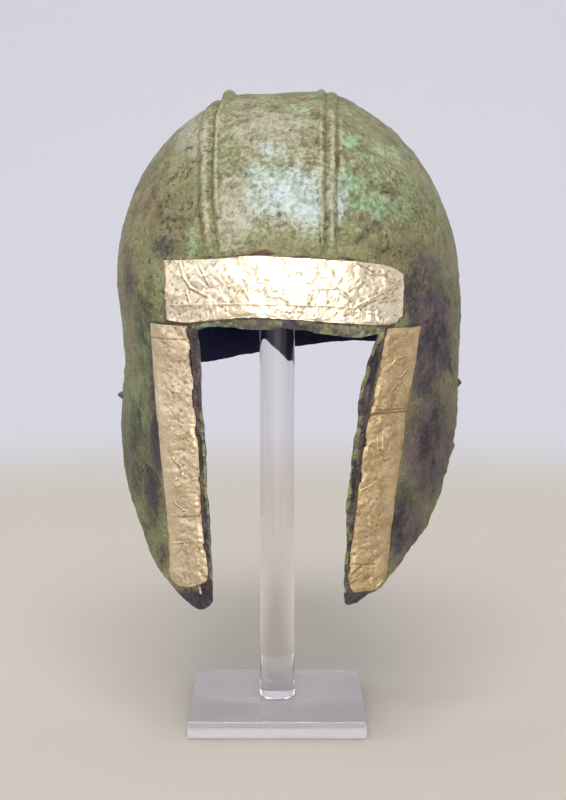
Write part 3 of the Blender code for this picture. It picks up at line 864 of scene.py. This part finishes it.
def build_wall(outside, inside):
    points, faces = wall_skin()
    wall = new_object("bronze_helmet", points, faces)
    skin = bmesh.new()
    skin.from_mesh(wall.data)
    bmesh.ops.recalc_face_normals(skin, faces=skin.faces)
    skin.to_mesh(wall.data)
    skin.free()

    normals = np.zeros(len(points) * 3, np.float32)
    wall.data.vertex_normals.foreach_get("vector", normals)
    height, marks = wall_relief(points)
    worked = points + normals.reshape(-1, 3) * height[:, None]
    wall.data.vertices.foreach_set("co", to_world(worked).astype(np.float32).ravel())
    for tint, values in patch_marks(points, marks).items():
        set_attribute(wall.data, tint, values)
    wall.data.materials.append(outside)
    wall.data.materials.append(inside)

    wall.vertex_groups.new(name="inner")
    sheet = add_sheet(wall, WALL)
    sheet.shell_vertex_group = "inner"
    sheet.material_offset = 1
    outer = sum(len(face) - 2 for face in faces)
    thin = wall.modifiers.new("coarser_inside", "DECIMATE")
    thin.vertex_group = "inner"
    thin.ratio = (outer + INNER_TRIANGLES) / (2 * outer)
    apply_modifiers(wall)
    finish_piece(wall, 65, "bronze", "helmet_shell")


# ---- gold foil ----
def facets(x, level, crease, random):
    """Height of a crumpled sheet: random heights at scattered points, flat facets between them."""
    wide, tall = crease.pitch * crease.stretch, crease.pitch
    columns = np.arange(x.min() - 2 * wide, x.max() + 2 * wide, wide)
    rows = np.arange(level.min() - 2 * tall, level.max() + 2 * tall, tall)
    knots = np.array([(a, b) for a in columns for b in rows])
    knots += random.uniform(-SCATTER, SCATTER, knots.shape) * (wide, tall)
    heights = random.uniform(-crease.height, crease.height, len(knots))
    made = delaunay_2d_cdt([Vector(knot) for knot in knots], [], [], 0, 1e-6)
    spots = np.array([tuple(spot) for spot in made[0]])
    values = np.array([heights[origin[0]] for origin in made[3]])
    result = np.zeros_like(x)
    for corners in made[2]:
        (ax, ay), (bx, by), (cx, cy) = spots[list(corners)]
        inside = (x >= min(ax, bx, cx)) & (x <= max(ax, bx, cx))
        inside &= (level >= min(ay, by, cy)) & (level <= max(ay, by, cy))
        if not inside.any():
            continue
        px, py = x[inside] - cx, level[inside] - cy
        area = (by - cy) * (ax - cx) + (cx - bx) * (ay - cy)
        a = ((by - cy) * px + (cx - bx) * py) / area
        b = ((cy - ay) * px + (ax - cx) * py) / area
        c = 1 - a - b
        hit = (a >= -1e-9) & (b >= -1e-9) & (c >= -1e-9)
        va, vb, vc = values[list(corners)]
        patch = result[inside]
        patch[hit] = (a * va + b * vb + c * vc)[hit]
        result[inside] = patch
    return result


def stroke_height(x, level, strokes):
    """Height of the raised lines of a table of strokes."""
    height = np.zeros_like(x)
    for stroke in strokes:
        height += stroke.height * bell(segment_distance(x, level, stroke), stroke.width)
    return height


def foil_piece(name, node, x, level, height, edge, material, lines=0.0):
    """A foil from a grid of places on the wall, their heights over it and distances from the edge.

    lines adds painted shade along pressed ornament.
    """
    flat_x, flat_level = x.ravel(), level.ravel()
    points = wall_point(angle_at(flat_x, flat_level), flat_level, dome_radius(flat_level))
    lie = dents(points).reshape(x.shape)
    grid = points.reshape(*x.shape, 3)
    normals = np.cross(np.gradient(grid, axis=1), np.gradient(grid, axis=0))
    normals /= np.linalg.norm(normals, axis=-1, keepdims=True)
    pressed = smoothstep(0.0, PRESSED_WIDTH, edge)
    curl = EDGE_CURL * line_noise(flat_x * 1.3 + flat_level, 5.0, 2, seed=3.0).reshape(x.shape)
    lift = lie + EDGE_LIFT + pressed * (PRESSED_LIFT + height)
    lift += (1 - pressed) * np.maximum(curl, -0.1)
    floor = lie + LEAST_LIFT
    lift = floor + np.logaddexp(0.0, (lift - floor) * FLOOR_SHARPNESS) / FLOOR_SHARPNESS
    skin = grid + normals * lift[..., None]
    faces = grid_faces(np.arange(x.size).reshape(x.shape))
    foil = new_object(name, to_world(skin.reshape(-1, 3)), faces)
    # The crease mark is painted shade: hollows of the crumpled sheet, darker than the facets round
    # them.
    around = sum(np.roll(height, step, axis) for axis in (0, 1) for step in (2, -2)) / 4
    set_attribute(foil.data, "crease", np.clip((around - height) * 7 - 0.15 + lines, 0, 1).ravel())
    foil.data.materials.append(material)
    add_sheet(foil, FOIL_THICKNESS)
    apply_modifiers(foil)
    finish_piece(foil, 18, "gold", node)


def grid_shares(length, step):
    return np.linspace(0.0, 1.0, max(round(length / step), 2) + 1)


def build_brow_foil(gold):
    random = np.random.default_rng(BROW_SEED)
    first, last = BROW_FOIL[0], BROW_FOIL[-1]
    u = grid_shares(last.x - first.x, FOIL_STEP)
    v = grid_shares(BROW_FOIL_HEIGHT, FOIL_STEP)
    x = first.x + (last.x - first.x) * u[None, :] + 0 * v[:, None]
    lower = read_table(BROW_FOIL, x[0], "lower") + 0.45 * line_noise(x[0], 6.0, 3, seed=21.0)
    upper = read_table(BROW_FOIL, x[0], "upper") + 0.35 * line_noise(x[0], 8.0, 3, seed=22.0)
    level = lower[None, :] + (upper - lower)[None, :] * v[:, None]
    ends = 0.4 * line_noise(level[:, 0], 7.0, 3, seed=23.0)
    x = x + ends[:, None] * np.abs(2 * u - 1) ** 8 + (0.5 - v)[:, None] * (1 - u) ** 8
    edge = np.minimum.reduce([level - lower, upper - level, x - x[:, :1], x[:, -1:] - x])

    height = sum(facets(x, level, crease, random) for crease in BROW_CREASES)
    height -= 0.16 * np.maximum(-51.0 - x, 0.0) + 0.10 * np.maximum(x - 52.0, 0.0)
    height += stroke_height(x, level, BROW_STROKES)
    ornament = brow_ornament(x, level)
    # Painted shade along the ornament's pressed lines.
    lines = 1.6 * np.clip(ornament, 0.0, 0.3)
    foil_piece("gold_brow_foil", "brow_foil", x, level, height + ornament, edge, gold, lines)


def brow_ornament(x, level):
    """Pressed ornament: a border line, frames under it, slanting bars, arches and a rosette."""
    def border(at):
        return 246.9 - 0.0009 * (at + 12) ** 2

    strokes = []
    for k in range(9):
        left = 14.0 + 4.35 * k
        right, top = left + 3.3, border(left) - 1.2
        foot = top - 5.6
        strokes += [(left, top, left, foot, 0.32, 0.20), (right, top, right, foot, 0.32, 0.20),
                    (left, foot, right, foot, 0.32, 0.18)]
    for k in range(5):
        bar = -47.0 + 5.0 * k
        strokes.append((bar, 245.2, bar + 0.4, 239.8, 0.36, 0.20))
    for k in range(4):
        middle = 1.5 + 3.0 * k
        arch = [(middle + aside, at) for aside, at in
                ((-1.2, 241.0), (-0.8, 243.3), (0.8, 243.3), (1.2, 241.0))]
        strokes += [(*start, *end, 0.35, 0.28) for start, end in zip(arch, arch[1:])]
    for k in range(15):
        turn = 2 * math.pi * (k + 0.3) / 15
        near, far = ((1.0 + reach * math.cos(turn), 257.0 + reach * math.sin(turn) * 0.9)
                     for reach in (7.6, 9.8))
        strokes.append((*near, *far, 0.35, 0.16))
    line = 0.32 * bell(level - border(x), 0.42) * smoothstep(-60, -57, x) * smoothstep(52, 48, x)
    return line + stroke_height(x, level, table(STROKE, *strokes))


def build_cheek_foil(name, node, strip, strokes, crumple, seed, gold):
    """A strip along a cheekpiece; crumple is how strongly it is creased across."""
    random = np.random.default_rng(seed)
    top, bottom = strip[0].level, strip[-1].level
    v = grid_shares(top - bottom, FOIL_STEP)
    level = bottom + (top - bottom) * v
    outer = read_table(strip, level, "outer") + 0.15 * line_noise(level, 9.0, 2, seed=seed)
    inner = read_table(strip, level, "inner")
    scallops = line_noise(level, 8.0, 3, seed=seed + 1)
    inner = inner + np.sign(inner[0]) * (0.45 * scallops + 0.5 * smoothstep(0.25, 0.3, scallops))
    left, right = np.minimum(outer, inner)[:, None], np.maximum(outer, inner)[:, None]
    u = grid_shares((right - left).max(), FOIL_STEP)
    x = left + (right - left) * u
    ends = 0.3 * line_noise(x[0], 6.0, 2, seed=seed + 2)
    level = level[:, None] + ends * np.abs(2 * v - 1)[:, None] ** 12
    edge = np.minimum.reduce([x - left, right - x, level - level[:1], level[-1:] - level])
    calm = smoothstep(0.0, 0.5, np.abs(x - outer[:, None]) / (right - left))
    height = 0.0
    for crease in CHEEK_CREASES:
        share = crease.at_edge + (1 - crease.at_edge) * calm
        height = height + crumple * share * facets(x, level, crease, random)
    height += facets(x, level, CHEEK_GRAIN, random) + stroke_height(x, level, strokes)
    foil_piece(name, node, x, level, height, edge, gold)


def build_foils(golds):
    build_brow_foil(golds["brow"])
    for node, strip, strokes, crumple, seed, gold in (
            ("cheek_foil_left", FOIL_LEFT, LEFT_STROKES, 1.2, 31, "left"),
            ("cheek_foil_right_upper", FOIL_RIGHT_UPPER, RIGHT_UPPER_STROKES, 0.95, 35, "right"),
            ("cheek_foil_right_lower", FOIL_RIGHT_LOWER, RIGHT_LOWER_STROKES, 1.1, 39, "right")):
        build_cheek_foil("gold_" + node, node, strip, strokes, crumple, seed, golds[gold])
    build_cheek_foil("gold_sliver", "foil_sliver_left", FOIL_SLIVER, (), 0.4, 43, golds["brow"])


# ---- studs and stand ----
def lathe(name, profile, sides):
    """A turned piece about Z from (radius, height) points in metres, the first on the axis.

    It is closed where the last point is on the axis too, and open like a bowl otherwise.
    """
    closed = profile[-1][0] == 0.0
    rings = profile[1:-1] if closed else profile[1:]
    turns = [2 * math.pi * k / sides for k in range(sides)]
    points = [(0.0, 0.0, profile[0][1])]
    points += [(r * math.cos(t), r * math.sin(t), z) for r, z in rings for t in turns]
    top = 1 + (len(rings) - 1) * sides
    if closed:
        points.append((0.0, 0.0, profile[-1][1]))
    faces = []
    for k in range(sides):
        after = (k + 1) % sides
        faces.append([0, 1 + after, 1 + k])
        for low in range(1, top, sides):
            high = low + sides
            faces.append([low + k, low + after, high + after, high + k])
        if closed:
            faces.append([top + k, top + after, len(points) - 1])
    return new_object(name, points, faces)


# A stud's outline, as shares of its radius and height.
STUD_PROFILE = table("radius height", (1.0, 0.0), (1.02, 0.12), (0.86, 0.25), (0.66, 0.42),
                     (0.52, 0.58), (0.42, 0.74), (0.34, 0.87), (0.22, 0.96))


def build_stud(name, node, side, length, seed, material):
    """A blunt, corroded spike in the box of its CAD node, pointing out sideways."""
    low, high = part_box(node)
    middle = (low + high) / 2
    reach, radius = length * (high.x - low.x), (high.z - low.z) / 2
    profile = [(0.0, 0.0)]
    profile += [(radius * row.radius, reach * row.height) for row in STUD_PROFILE]
    profile.append((0.0, reach))
    stud = lathe(name, profile, sides=28)
    foot = high.x if side < 0 else low.x
    for vert in stud.data.vertices:
        x, y, z = vert.co
        spot = Vector((x, y, z)) / (1.6 * MM) + Vector((seed, 0, 0))
        swell = 1 + 0.22 * noise.fractal(spot, 1.0, 2.0, 3)
        vert.co = (foot + side * z, middle.y + y * swell, middle.z + x * swell + 0.08 * z)
    if side > 0:
        stud.data.flip_normals()
    for tint, strength in (("plum", 0.7), ("furrow", 0.1)):
        set_attribute(stud.data, tint, np.full(len(stud.data.vertices), strength))
    stud.data.materials.append(material)
    finish_piece(stud, 60, "bronze", node)


def build_rod(material):
    """The rod, with a fillet of cement round its foot and a softened upper edge."""
    low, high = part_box("stand_rod")
    radius, tall = (high.x - low.x) / 2, high.z - low.z
    fillet, bevel, start = 0.7 * MM, 0.6 * MM, 0.05 * MM
    arc = [math.pi / 2 * k / 5 for k in range(6)]
    profile = [(0.0, low.z)]
    profile += [(radius + fillet * (1 - math.sin(a)), low.z + fillet * (1 - math.cos(a)) + start)
                for a in arc]
    profile += [(radius, low.z + tall * k / 12) for k in range(1, 12)]
    profile += [(radius - bevel * (1 - math.cos(a)), high.z - bevel * (1 - math.sin(a)))
                for a in arc]
    profile.append((0.0, high.z))
    rod = lathe("acrylic_rod", profile, sides=144)
    rod.data.materials.append(material)
    finish_piece(rod, 40, "acrylic", "stand_rod")


def build_base(material):
    low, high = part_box("stand_base")
    size, middle = high - low, (low + high) / 2
    block = bmesh.new()
    bmesh.ops.create_cube(block, size=1.0)
    for vert in block.verts:
        vert.co = vert.co * size + middle
    bmesh.ops.bevel(block, geom=block.edges[:], offset=0.7 * MM, segments=4, profile=0.5,
                    affect="EDGES")
    mesh = bpy.data.meshes.new("acrylic_block")
    block.to_mesh(mesh)
    block.free()
    mesh.materials.append(material)
    finish_piece(put("acrylic_block", mesh), 25, "acrylic", "stand_base")


# ---- materials ----
def srgb(red, green, blue):
    """A screen colour of 0 to 255 as the linear colour that shaders take."""
    def linear(value):
        value /= 255
        return value / 12.92 if value <= 0.04045 else ((value + 0.055) / 1.055) ** 2.4
    return (linear(red), linear(green), linear(blue), 1.0)


class Nodes:
    """A short way to write a material's nodes."""

    def __init__(self, name):
        self.material = bpy.data.materials.new(name)
        self.material.use_nodes = True
        self.tree = self.material.node_tree
        self.shader = self.tree.nodes["Principled BSDF"]
        self.place = self.add("TexCoord").outputs["Object"]

    def add(self, kind, inputs=None, **settings):
        made = self.tree.nodes.new("ShaderNode" + kind)
        for name, value in settings.items():
            setattr(made, name, value)
        for socket, value in (inputs or {}).items():
            self.feed(made.inputs[socket], value)
        return made

    def feed(self, socket, value):
        """Link or set an input; a tuple is a screen colour."""
        if isinstance(value, bpy.types.NodeSocket):
            self.tree.links.new(value, socket)
        else:
            socket.default_value = srgb(*value) if isinstance(value, tuple) else value

    def noise(self, scale, detail=3.0, roughness=0.5, distortion=0.0):
        inputs = {"Vector": self.place, "Scale": scale, "Detail": detail,
                  "Roughness": roughness, "Distortion": distortion}
        return self.add("TexNoise", inputs).outputs["Fac"]

    def math(self, operation, first, second=0.0):
        return self.add("Math", {0: first, 1: second}, operation=operation).outputs[0]

    def sum(self, *terms):
        """Sum of (value, weight) pairs."""
        total = 0.0
        for value, weight in terms:
            total = self.math("ADD", self.math("MULTIPLY", value, weight), total)
        return total

    def step(self, value, low, high, start=0.0, end=1.0):
        inputs = {"Value": value, "From Min": low, "From Max": high, "To Min": start, "To Max": end}
        return self.add("MapRange", inputs, interpolation_type="SMOOTHSTEP").outputs["Result"]

    def mark(self, name):
        return self.add("Attribute", attribute_name=name).outputs["Fac"]

    def mix(self, factor, first, second, blend="MIX"):
        inputs = {0: factor, 6: first, 7: second}
        return self.add("Mix", inputs, data_type="RGBA", blend_type=blend).outputs[2]

    def ramp(self, value, *stops):
        """Screen colours at positions along 0 to 1."""
        made = self.add("ValToRGB", {"Fac": value})
        elements = made.color_ramp.elements
        while len(elements) < len(stops):
            elements.new(0.5)
        for element, (position, colour) in zip(elements, stops):
            element.position = position
            element.color = srgb(*colour)
        return made.outputs["Color"]

    def bump(self, height, distance, strength=1.0):
        inputs = {"Height": height, "Distance": distance, "Strength": strength}
        self.feed(self.shader.inputs["Normal"], self.add("Bump", inputs).outputs["Normal"])

    def set(self, **inputs):
        for name, value in inputs.items():
            self.feed(self.shader.inputs[name.replace("_", " ")], value)
        return self.material


TINTS = table(
    "name dark light ragged low high grain",
    ("khaki", (138, 134, 108), (184, 178, 158), 1.4, 0.08, 0.75, "fine"),
    ("umber", (88, 75, 50), (144, 130, 92), 2.2, 0.15, 0.95, "coarse"),
    ("moss", (34, 42, 32), (116, 125, 84), 2.4, 0.15, 0.95, "coarse"),
    ("plum", (33, 26, 36), (100, 82, 86), 2.6, 0.22, 0.90, "coarse"),
    ("mint", (108, 138, 100), (158, 188, 148), 1.9, 0.16, 0.95, "fine"),
    # The ice tint: pale turquoise patina, also a painted sheen.
    ("ice", (148, 164, 152), (197, 212, 214), 1.6, 0.10, 0.95, "fine"),
    # The ink tint: dark patches and the crack, also painted shadow along the foils and painted
    # shade under the brow foil.
    ("ink", (36, 32, 44), (70, 62, 66), 2.4, 0.25, 0.85, "coarse"),
    # The lichen tint: pale green crust, also a painted highlight on the lumps under the brow foil.
    ("lichen", (76, 76, 48), (138, 142, 98), 1.8, 0.25, 0.85, "fine"),
    ("rust", (58, 38, 30), (104, 72, 54), 2.4, 0.40, 0.85, "fine"),
    # The worn tint: pale wear on the rib crests, also a painted highlight.
    ("worn", (148, 144, 116), (186, 182, 158), 1.2, 0.30, 1.05, "fine"),
    # The furrow tint: painted shade in the rib furrows and round the foils' edges; also a scratch
    # and the studs.
    ("furrow", (80, 69, 42), (108, 97, 62), 0.8, 0.20, 1.15, "fine"),
)
GREENS = ((92, 95, 60), (117, 121, 79), (138, 143, 99), (160, 165, 128))
BROWNS = ((92, 84, 56), (121, 113, 76), (143, 135, 96), (166, 159, 124))


def patina_material():
    look = Nodes("patinated_bronze")
    broad = look.noise(26, 4, 0.55)
    mottle = look.noise(120, 5, 0.6, 0.4)
    crumb = look.noise(400, 4, 0.62, 0.2)
    dust = look.noise(1700, 2, 0.6)
    tone = look.sum((broad, 0.22), (mottle, 0.28), (crumb, 0.5))
    stops = (0.38, 0.47, 0.54, 0.63)
    green = look.ramp(tone, *zip(stops, GREENS))
    brown = look.ramp(tone, *zip(stops, BROWNS))
    colour = look.mix(look.step(look.noise(70, 4, 0.6), 0.40, 0.60), green, brown)
    even = look.step(tone, 0.38, 0.62)
    lumpy = look.sum((look.noise(65, 4, 0.6, 0.5), 0.45), (mottle, 0.25), (crumb, 0.3))
    coarse = look.step(lumpy, 0.425, 0.585)
    ragged = look.sum((mottle, 0.42), (crumb, 0.58), (1.0, -0.5))
    for tint in TINTS:
        reach = look.sum((look.mark(tint.name), 1.0), (ragged, tint.ragged))
        mask = look.step(reach, tint.low, tint.high)
        grain = coarse if tint.grain == "coarse" else even
        colour = look.mix(mask, colour, look.mix(grain, tint.dark, tint.light))
    pits = look.sum((look.noise(420, 3, 0.6), 1.0), (mottle, -0.7), (look.mark("pits"), 0.10),
                    (look.mark("ice"), -0.06), (1.0, 0.35))
    colour = look.mix(look.step(pits, 0.62, 0.76, 0.0, 0.75), colour, (50, 44, 28))
    stained = look.step(look.noise(90, 5, 0.65, 0.8), 0.54, 0.68)
    stain = look.sum((stained, 0.45), (look.mark("ice"), -0.3), (look.mark("khaki"), -0.2))
    colour = look.mix(look.math("MAXIMUM", stain, 0.0), colour, (70, 60, 48))
    dusting = look.step(dust, 0.35, 0.65, 0.88, 1.10)
    grey = look.add("CombineColor", {0: dusting, 1: dusting, 2: dusting}).outputs[0]
    colour = look.mix(1.0, colour, grey, "MULTIPLY")
    sunk = look.step(pits, 0.62, 0.76)
    surface = look.sum((mottle, 0.45), (crumb, 0.60), (dust, 0.08), (sunk, -0.12))
    look.bump(surface, 0.0034, 0.9)
    dull = look.step(crumb, 0.35, 0.65)
    roughness = look.sum((dull, 0.20), (look.mark("ice"), -0.12), (1.0, 0.42))
    return look.set(Base_Color=colour, Roughness=roughness, Specular_IOR_Level=0.4)


def inner_bronze_material():
    look = Nodes("dark_inner_bronze")
    grain = look.noise(420, 4, 0.6)
    broad = look.noise(60, 3)
    tone = look.sum((grain, 0.5), (broad, 0.5))
    # Near-black navy: largely painted shade of the helmet's dim inside.
    colour = look.ramp(tone, (0.38, (12, 14, 40)), (0.52, (22, 24, 60)), (0.66, (38, 40, 78)))
    look.bump(grain, 0.0009, 0.7)
    rough = look.step(grain, 0.3, 0.7, 0.55, 0.85)
    return look.set(Base_Color=colour, Roughness=rough, Specular_IOR_Level=0.15)


def gold_material(name, deep, light, polish):
    look = Nodes(name)
    wrinkle = look.noise(700, 4, 0.6, 0.6)
    grain = look.noise(2600, 2, 0.6)
    stain = look.noise(90, 4, 0.6)
    grit = look.noise(1400, 3, 0.7)
    tone = look.sum((stain, 0.4), (wrinkle, 0.3), (grit, 0.3))
    colour = look.ramp(tone, (0.40, deep), (0.58, light))
    # Painted shade: the foil's creases and pressed lines are darkened to tan.
    crease_shade = look.math("MULTIPLY", look.mark("crease"), 0.85)
    colour = look.mix(crease_shade, colour, (150, 118, 78))
    look.bump(look.sum((wrinkle, 0.6), (grit, 0.3), (grain, 0.2)), 0.00045, 0.85)
    roughness = look.step(look.sum((wrinkle, 0.5), (grain, 0.5)), 0.3, 0.7, polish, polish + 0.16)
    return look.set(Base_Color=colour, Roughness=roughness, Metallic=1.0)


def acrylic_material(name, clearness, haze):
    """Clear acrylic; haze is the roughness of its scuffed surface."""
    look = Nodes(name)
    smudge = look.noise(45, 4, 0.6)
    roughness = look.step(smudge, 0.40, 0.70, haze, haze + 0.05)
    return look.set(Base_Color=(244, 240, 240), Roughness=roughness, IOR=1.49,
                    Specular_IOR_Level=0.35, Transmission_Weight=clearness)


# ---- stage ----
WHITE = (1.0, 1.0, 1.0)
FLOOR_RADIUS = 1.1
BOWL_RADIUS = 1.1
BOWL_HEIGHT = 2.6
FLOOR_LEVEL = -0.0003           # a hair under the block, so that light passes its underside freely
FLOOR_COLOUR = (190, 183, 172)
BACKDROP_COLOUR = (204, 203, 209)
ROOM_COLOUR = (232, 236, 246)
ROOM_STRENGTH = 0.34
CAMERA_AT = (0.0033, -0.9438, 0.3109)
CAMERA_DOWN = 7.682             # degrees below level
LENS = 75.05                    # in mm, on a 36 mm wide frame


def build_stage():
    """A pale floor that curves up into a round wall, so that every side has the same backdrop."""
    profile = [(FLOOR_RADIUS * k / 6, FLOOR_LEVEL) for k in range(7)]
    profile += [(FLOOR_RADIUS + BOWL_RADIUS * math.sin(a), BOWL_RADIUS * (1 - math.cos(a)))
                for a in (math.pi / 2 * k / 16 for k in range(1, 17))]
    profile.append((FLOOR_RADIUS + BOWL_RADIUS, BOWL_HEIGHT))
    bowl = lathe("studio_bowl", profile, sides=96)
    bowl.data.shade_smooth()
    look = Nodes("pale_studio")
    far = look.add("VectorMath", {0: look.place}, operation="LENGTH").outputs["Value"]
    colour = look.ramp(look.step(far, 0.65, 1.15), (0.0, FLOOR_COLOUR), (1.0, BACKDROP_COLOUR))
    bowl.data.materials.append(look.set(Base_Color=colour, Roughness=0.9))


LIGHTS = table(
    "name place target size power colour spread",
    ("crown_light", (0.0, -1.15, 1.85), (0.0, 0.0, 0.28), (1.1, 0.7), 29.0, (1.0, 0.99, 0.96), 180),
    ("key", (0.05, -1.70, 0.50), (0.0, 0.0, 0.27), (1.2, 0.5), 6.2, (1.0, 0.99, 0.97), 130),
    ("left_fill", (-1.5, -0.45, 0.75), (0.0, 0.0, 0.2), (0.45, 0.9), 2.3, WHITE, 120),
    ("right_fill", (1.5, -0.45, 0.75), (0.0, 0.0, 0.2), (0.4, 0.8), 0.85, WHITE, 120),
    ("back_light_left", (-1.1, 1.05, 1.6), (0.0, 0.0, 0.25), (0.8, 0.8), 5.5, WHITE, 180),
    ("back_light_right", (1.1, 1.05, 1.6), (0.0, 0.0, 0.25), (0.8, 0.8), 5.5, WHITE, 180),
    ("backdrop_light", (0.0, 0.8, 1.4), (0.0, 2.0, 0.2), (1.2, 0.3), 7.0, (0.95, 0.97, 1.0), 180),
    ("foil_shine", (0.0, -1.72, 0.46), (0.0, 0.0, 0.26), (1.3, 0.45), 8.0, WHITE, 180),
)


def build_lights():
    """Softboxes round the stage; the last one is seen only as a shine."""
    for row in LIGHTS:
        lamp = bpy.data.lights.new(row.name, "AREA")
        lamp.shape = "RECTANGLE"
        lamp.size, lamp.size_y = row.size
        lamp.energy = row.power
        lamp.color = row.colour
        lamp.spread = math.radians(row.spread)
        light = put(row.name, lamp)
        light.location = row.place
        aim = Vector(row.target) - Vector(row.place)
        light.rotation_euler = aim.to_track_quat("-Z", "Y").to_euler()
        light.visible_camera = False
    light.visible_diffuse = False
    light.visible_transmission = False
    world = bpy.data.worlds.new("pale_room")
    world.use_nodes = True
    background = world.node_tree.nodes["Background"]
    background.inputs["Color"].default_value = srgb(*ROOM_COLOUR)
    background.inputs["Strength"].default_value = ROOM_STRENGTH
    bpy.context.scene.world = world


def build_camera():
    """The photo's view: from nearly a metre in front, looking slightly down."""
    lens = bpy.data.cameras.new("camera")
    lens.sensor_width = 36.0
    lens.lens = LENS
    lens.clip_start, lens.clip_end = 0.01, 20.0
    camera = put("camera", lens)
    camera.location = CAMERA_AT
    camera.rotation_euler = (math.radians(90 - CAMERA_DOWN), 0.0, 0.0)
    bpy.context.scene.camera = camera


def main():
    patina = patina_material()
    build_wall(patina, inner_bronze_material())
    # One gold in three tones: the brow foil's paler colour is a painted highlight and the right
    # cheek foils' darker colour painted shade; their polish differs too.
    build_foils({
        "brow": gold_material("polished_gold_painted_highlight", (222, 204, 170), (244, 235, 212), 0.28),
        "left": gold_material("gold_foil", (202, 181, 146), (230, 213, 184), 0.36),
        "right": gold_material("dull_gold_painted_shade", (168, 146, 109), (210, 188, 151), 0.50),
    })
    build_stud("bronze_stud_left", "side_stud_left", -1, 0.95, 3.0, patina)
    build_stud("bronze_stud_right", "side_stud_right", 1, 0.6, 9.0, patina)
    build_rod(acrylic_material("clear_acrylic", 0.99, 0.02))
    build_base(acrylic_material("scuffed_acrylic", 0.80, 0.05))
    build_stage()
    build_lights()
    build_camera()
    bpy.context.scene.view_settings.view_transform = "Standard"


main()
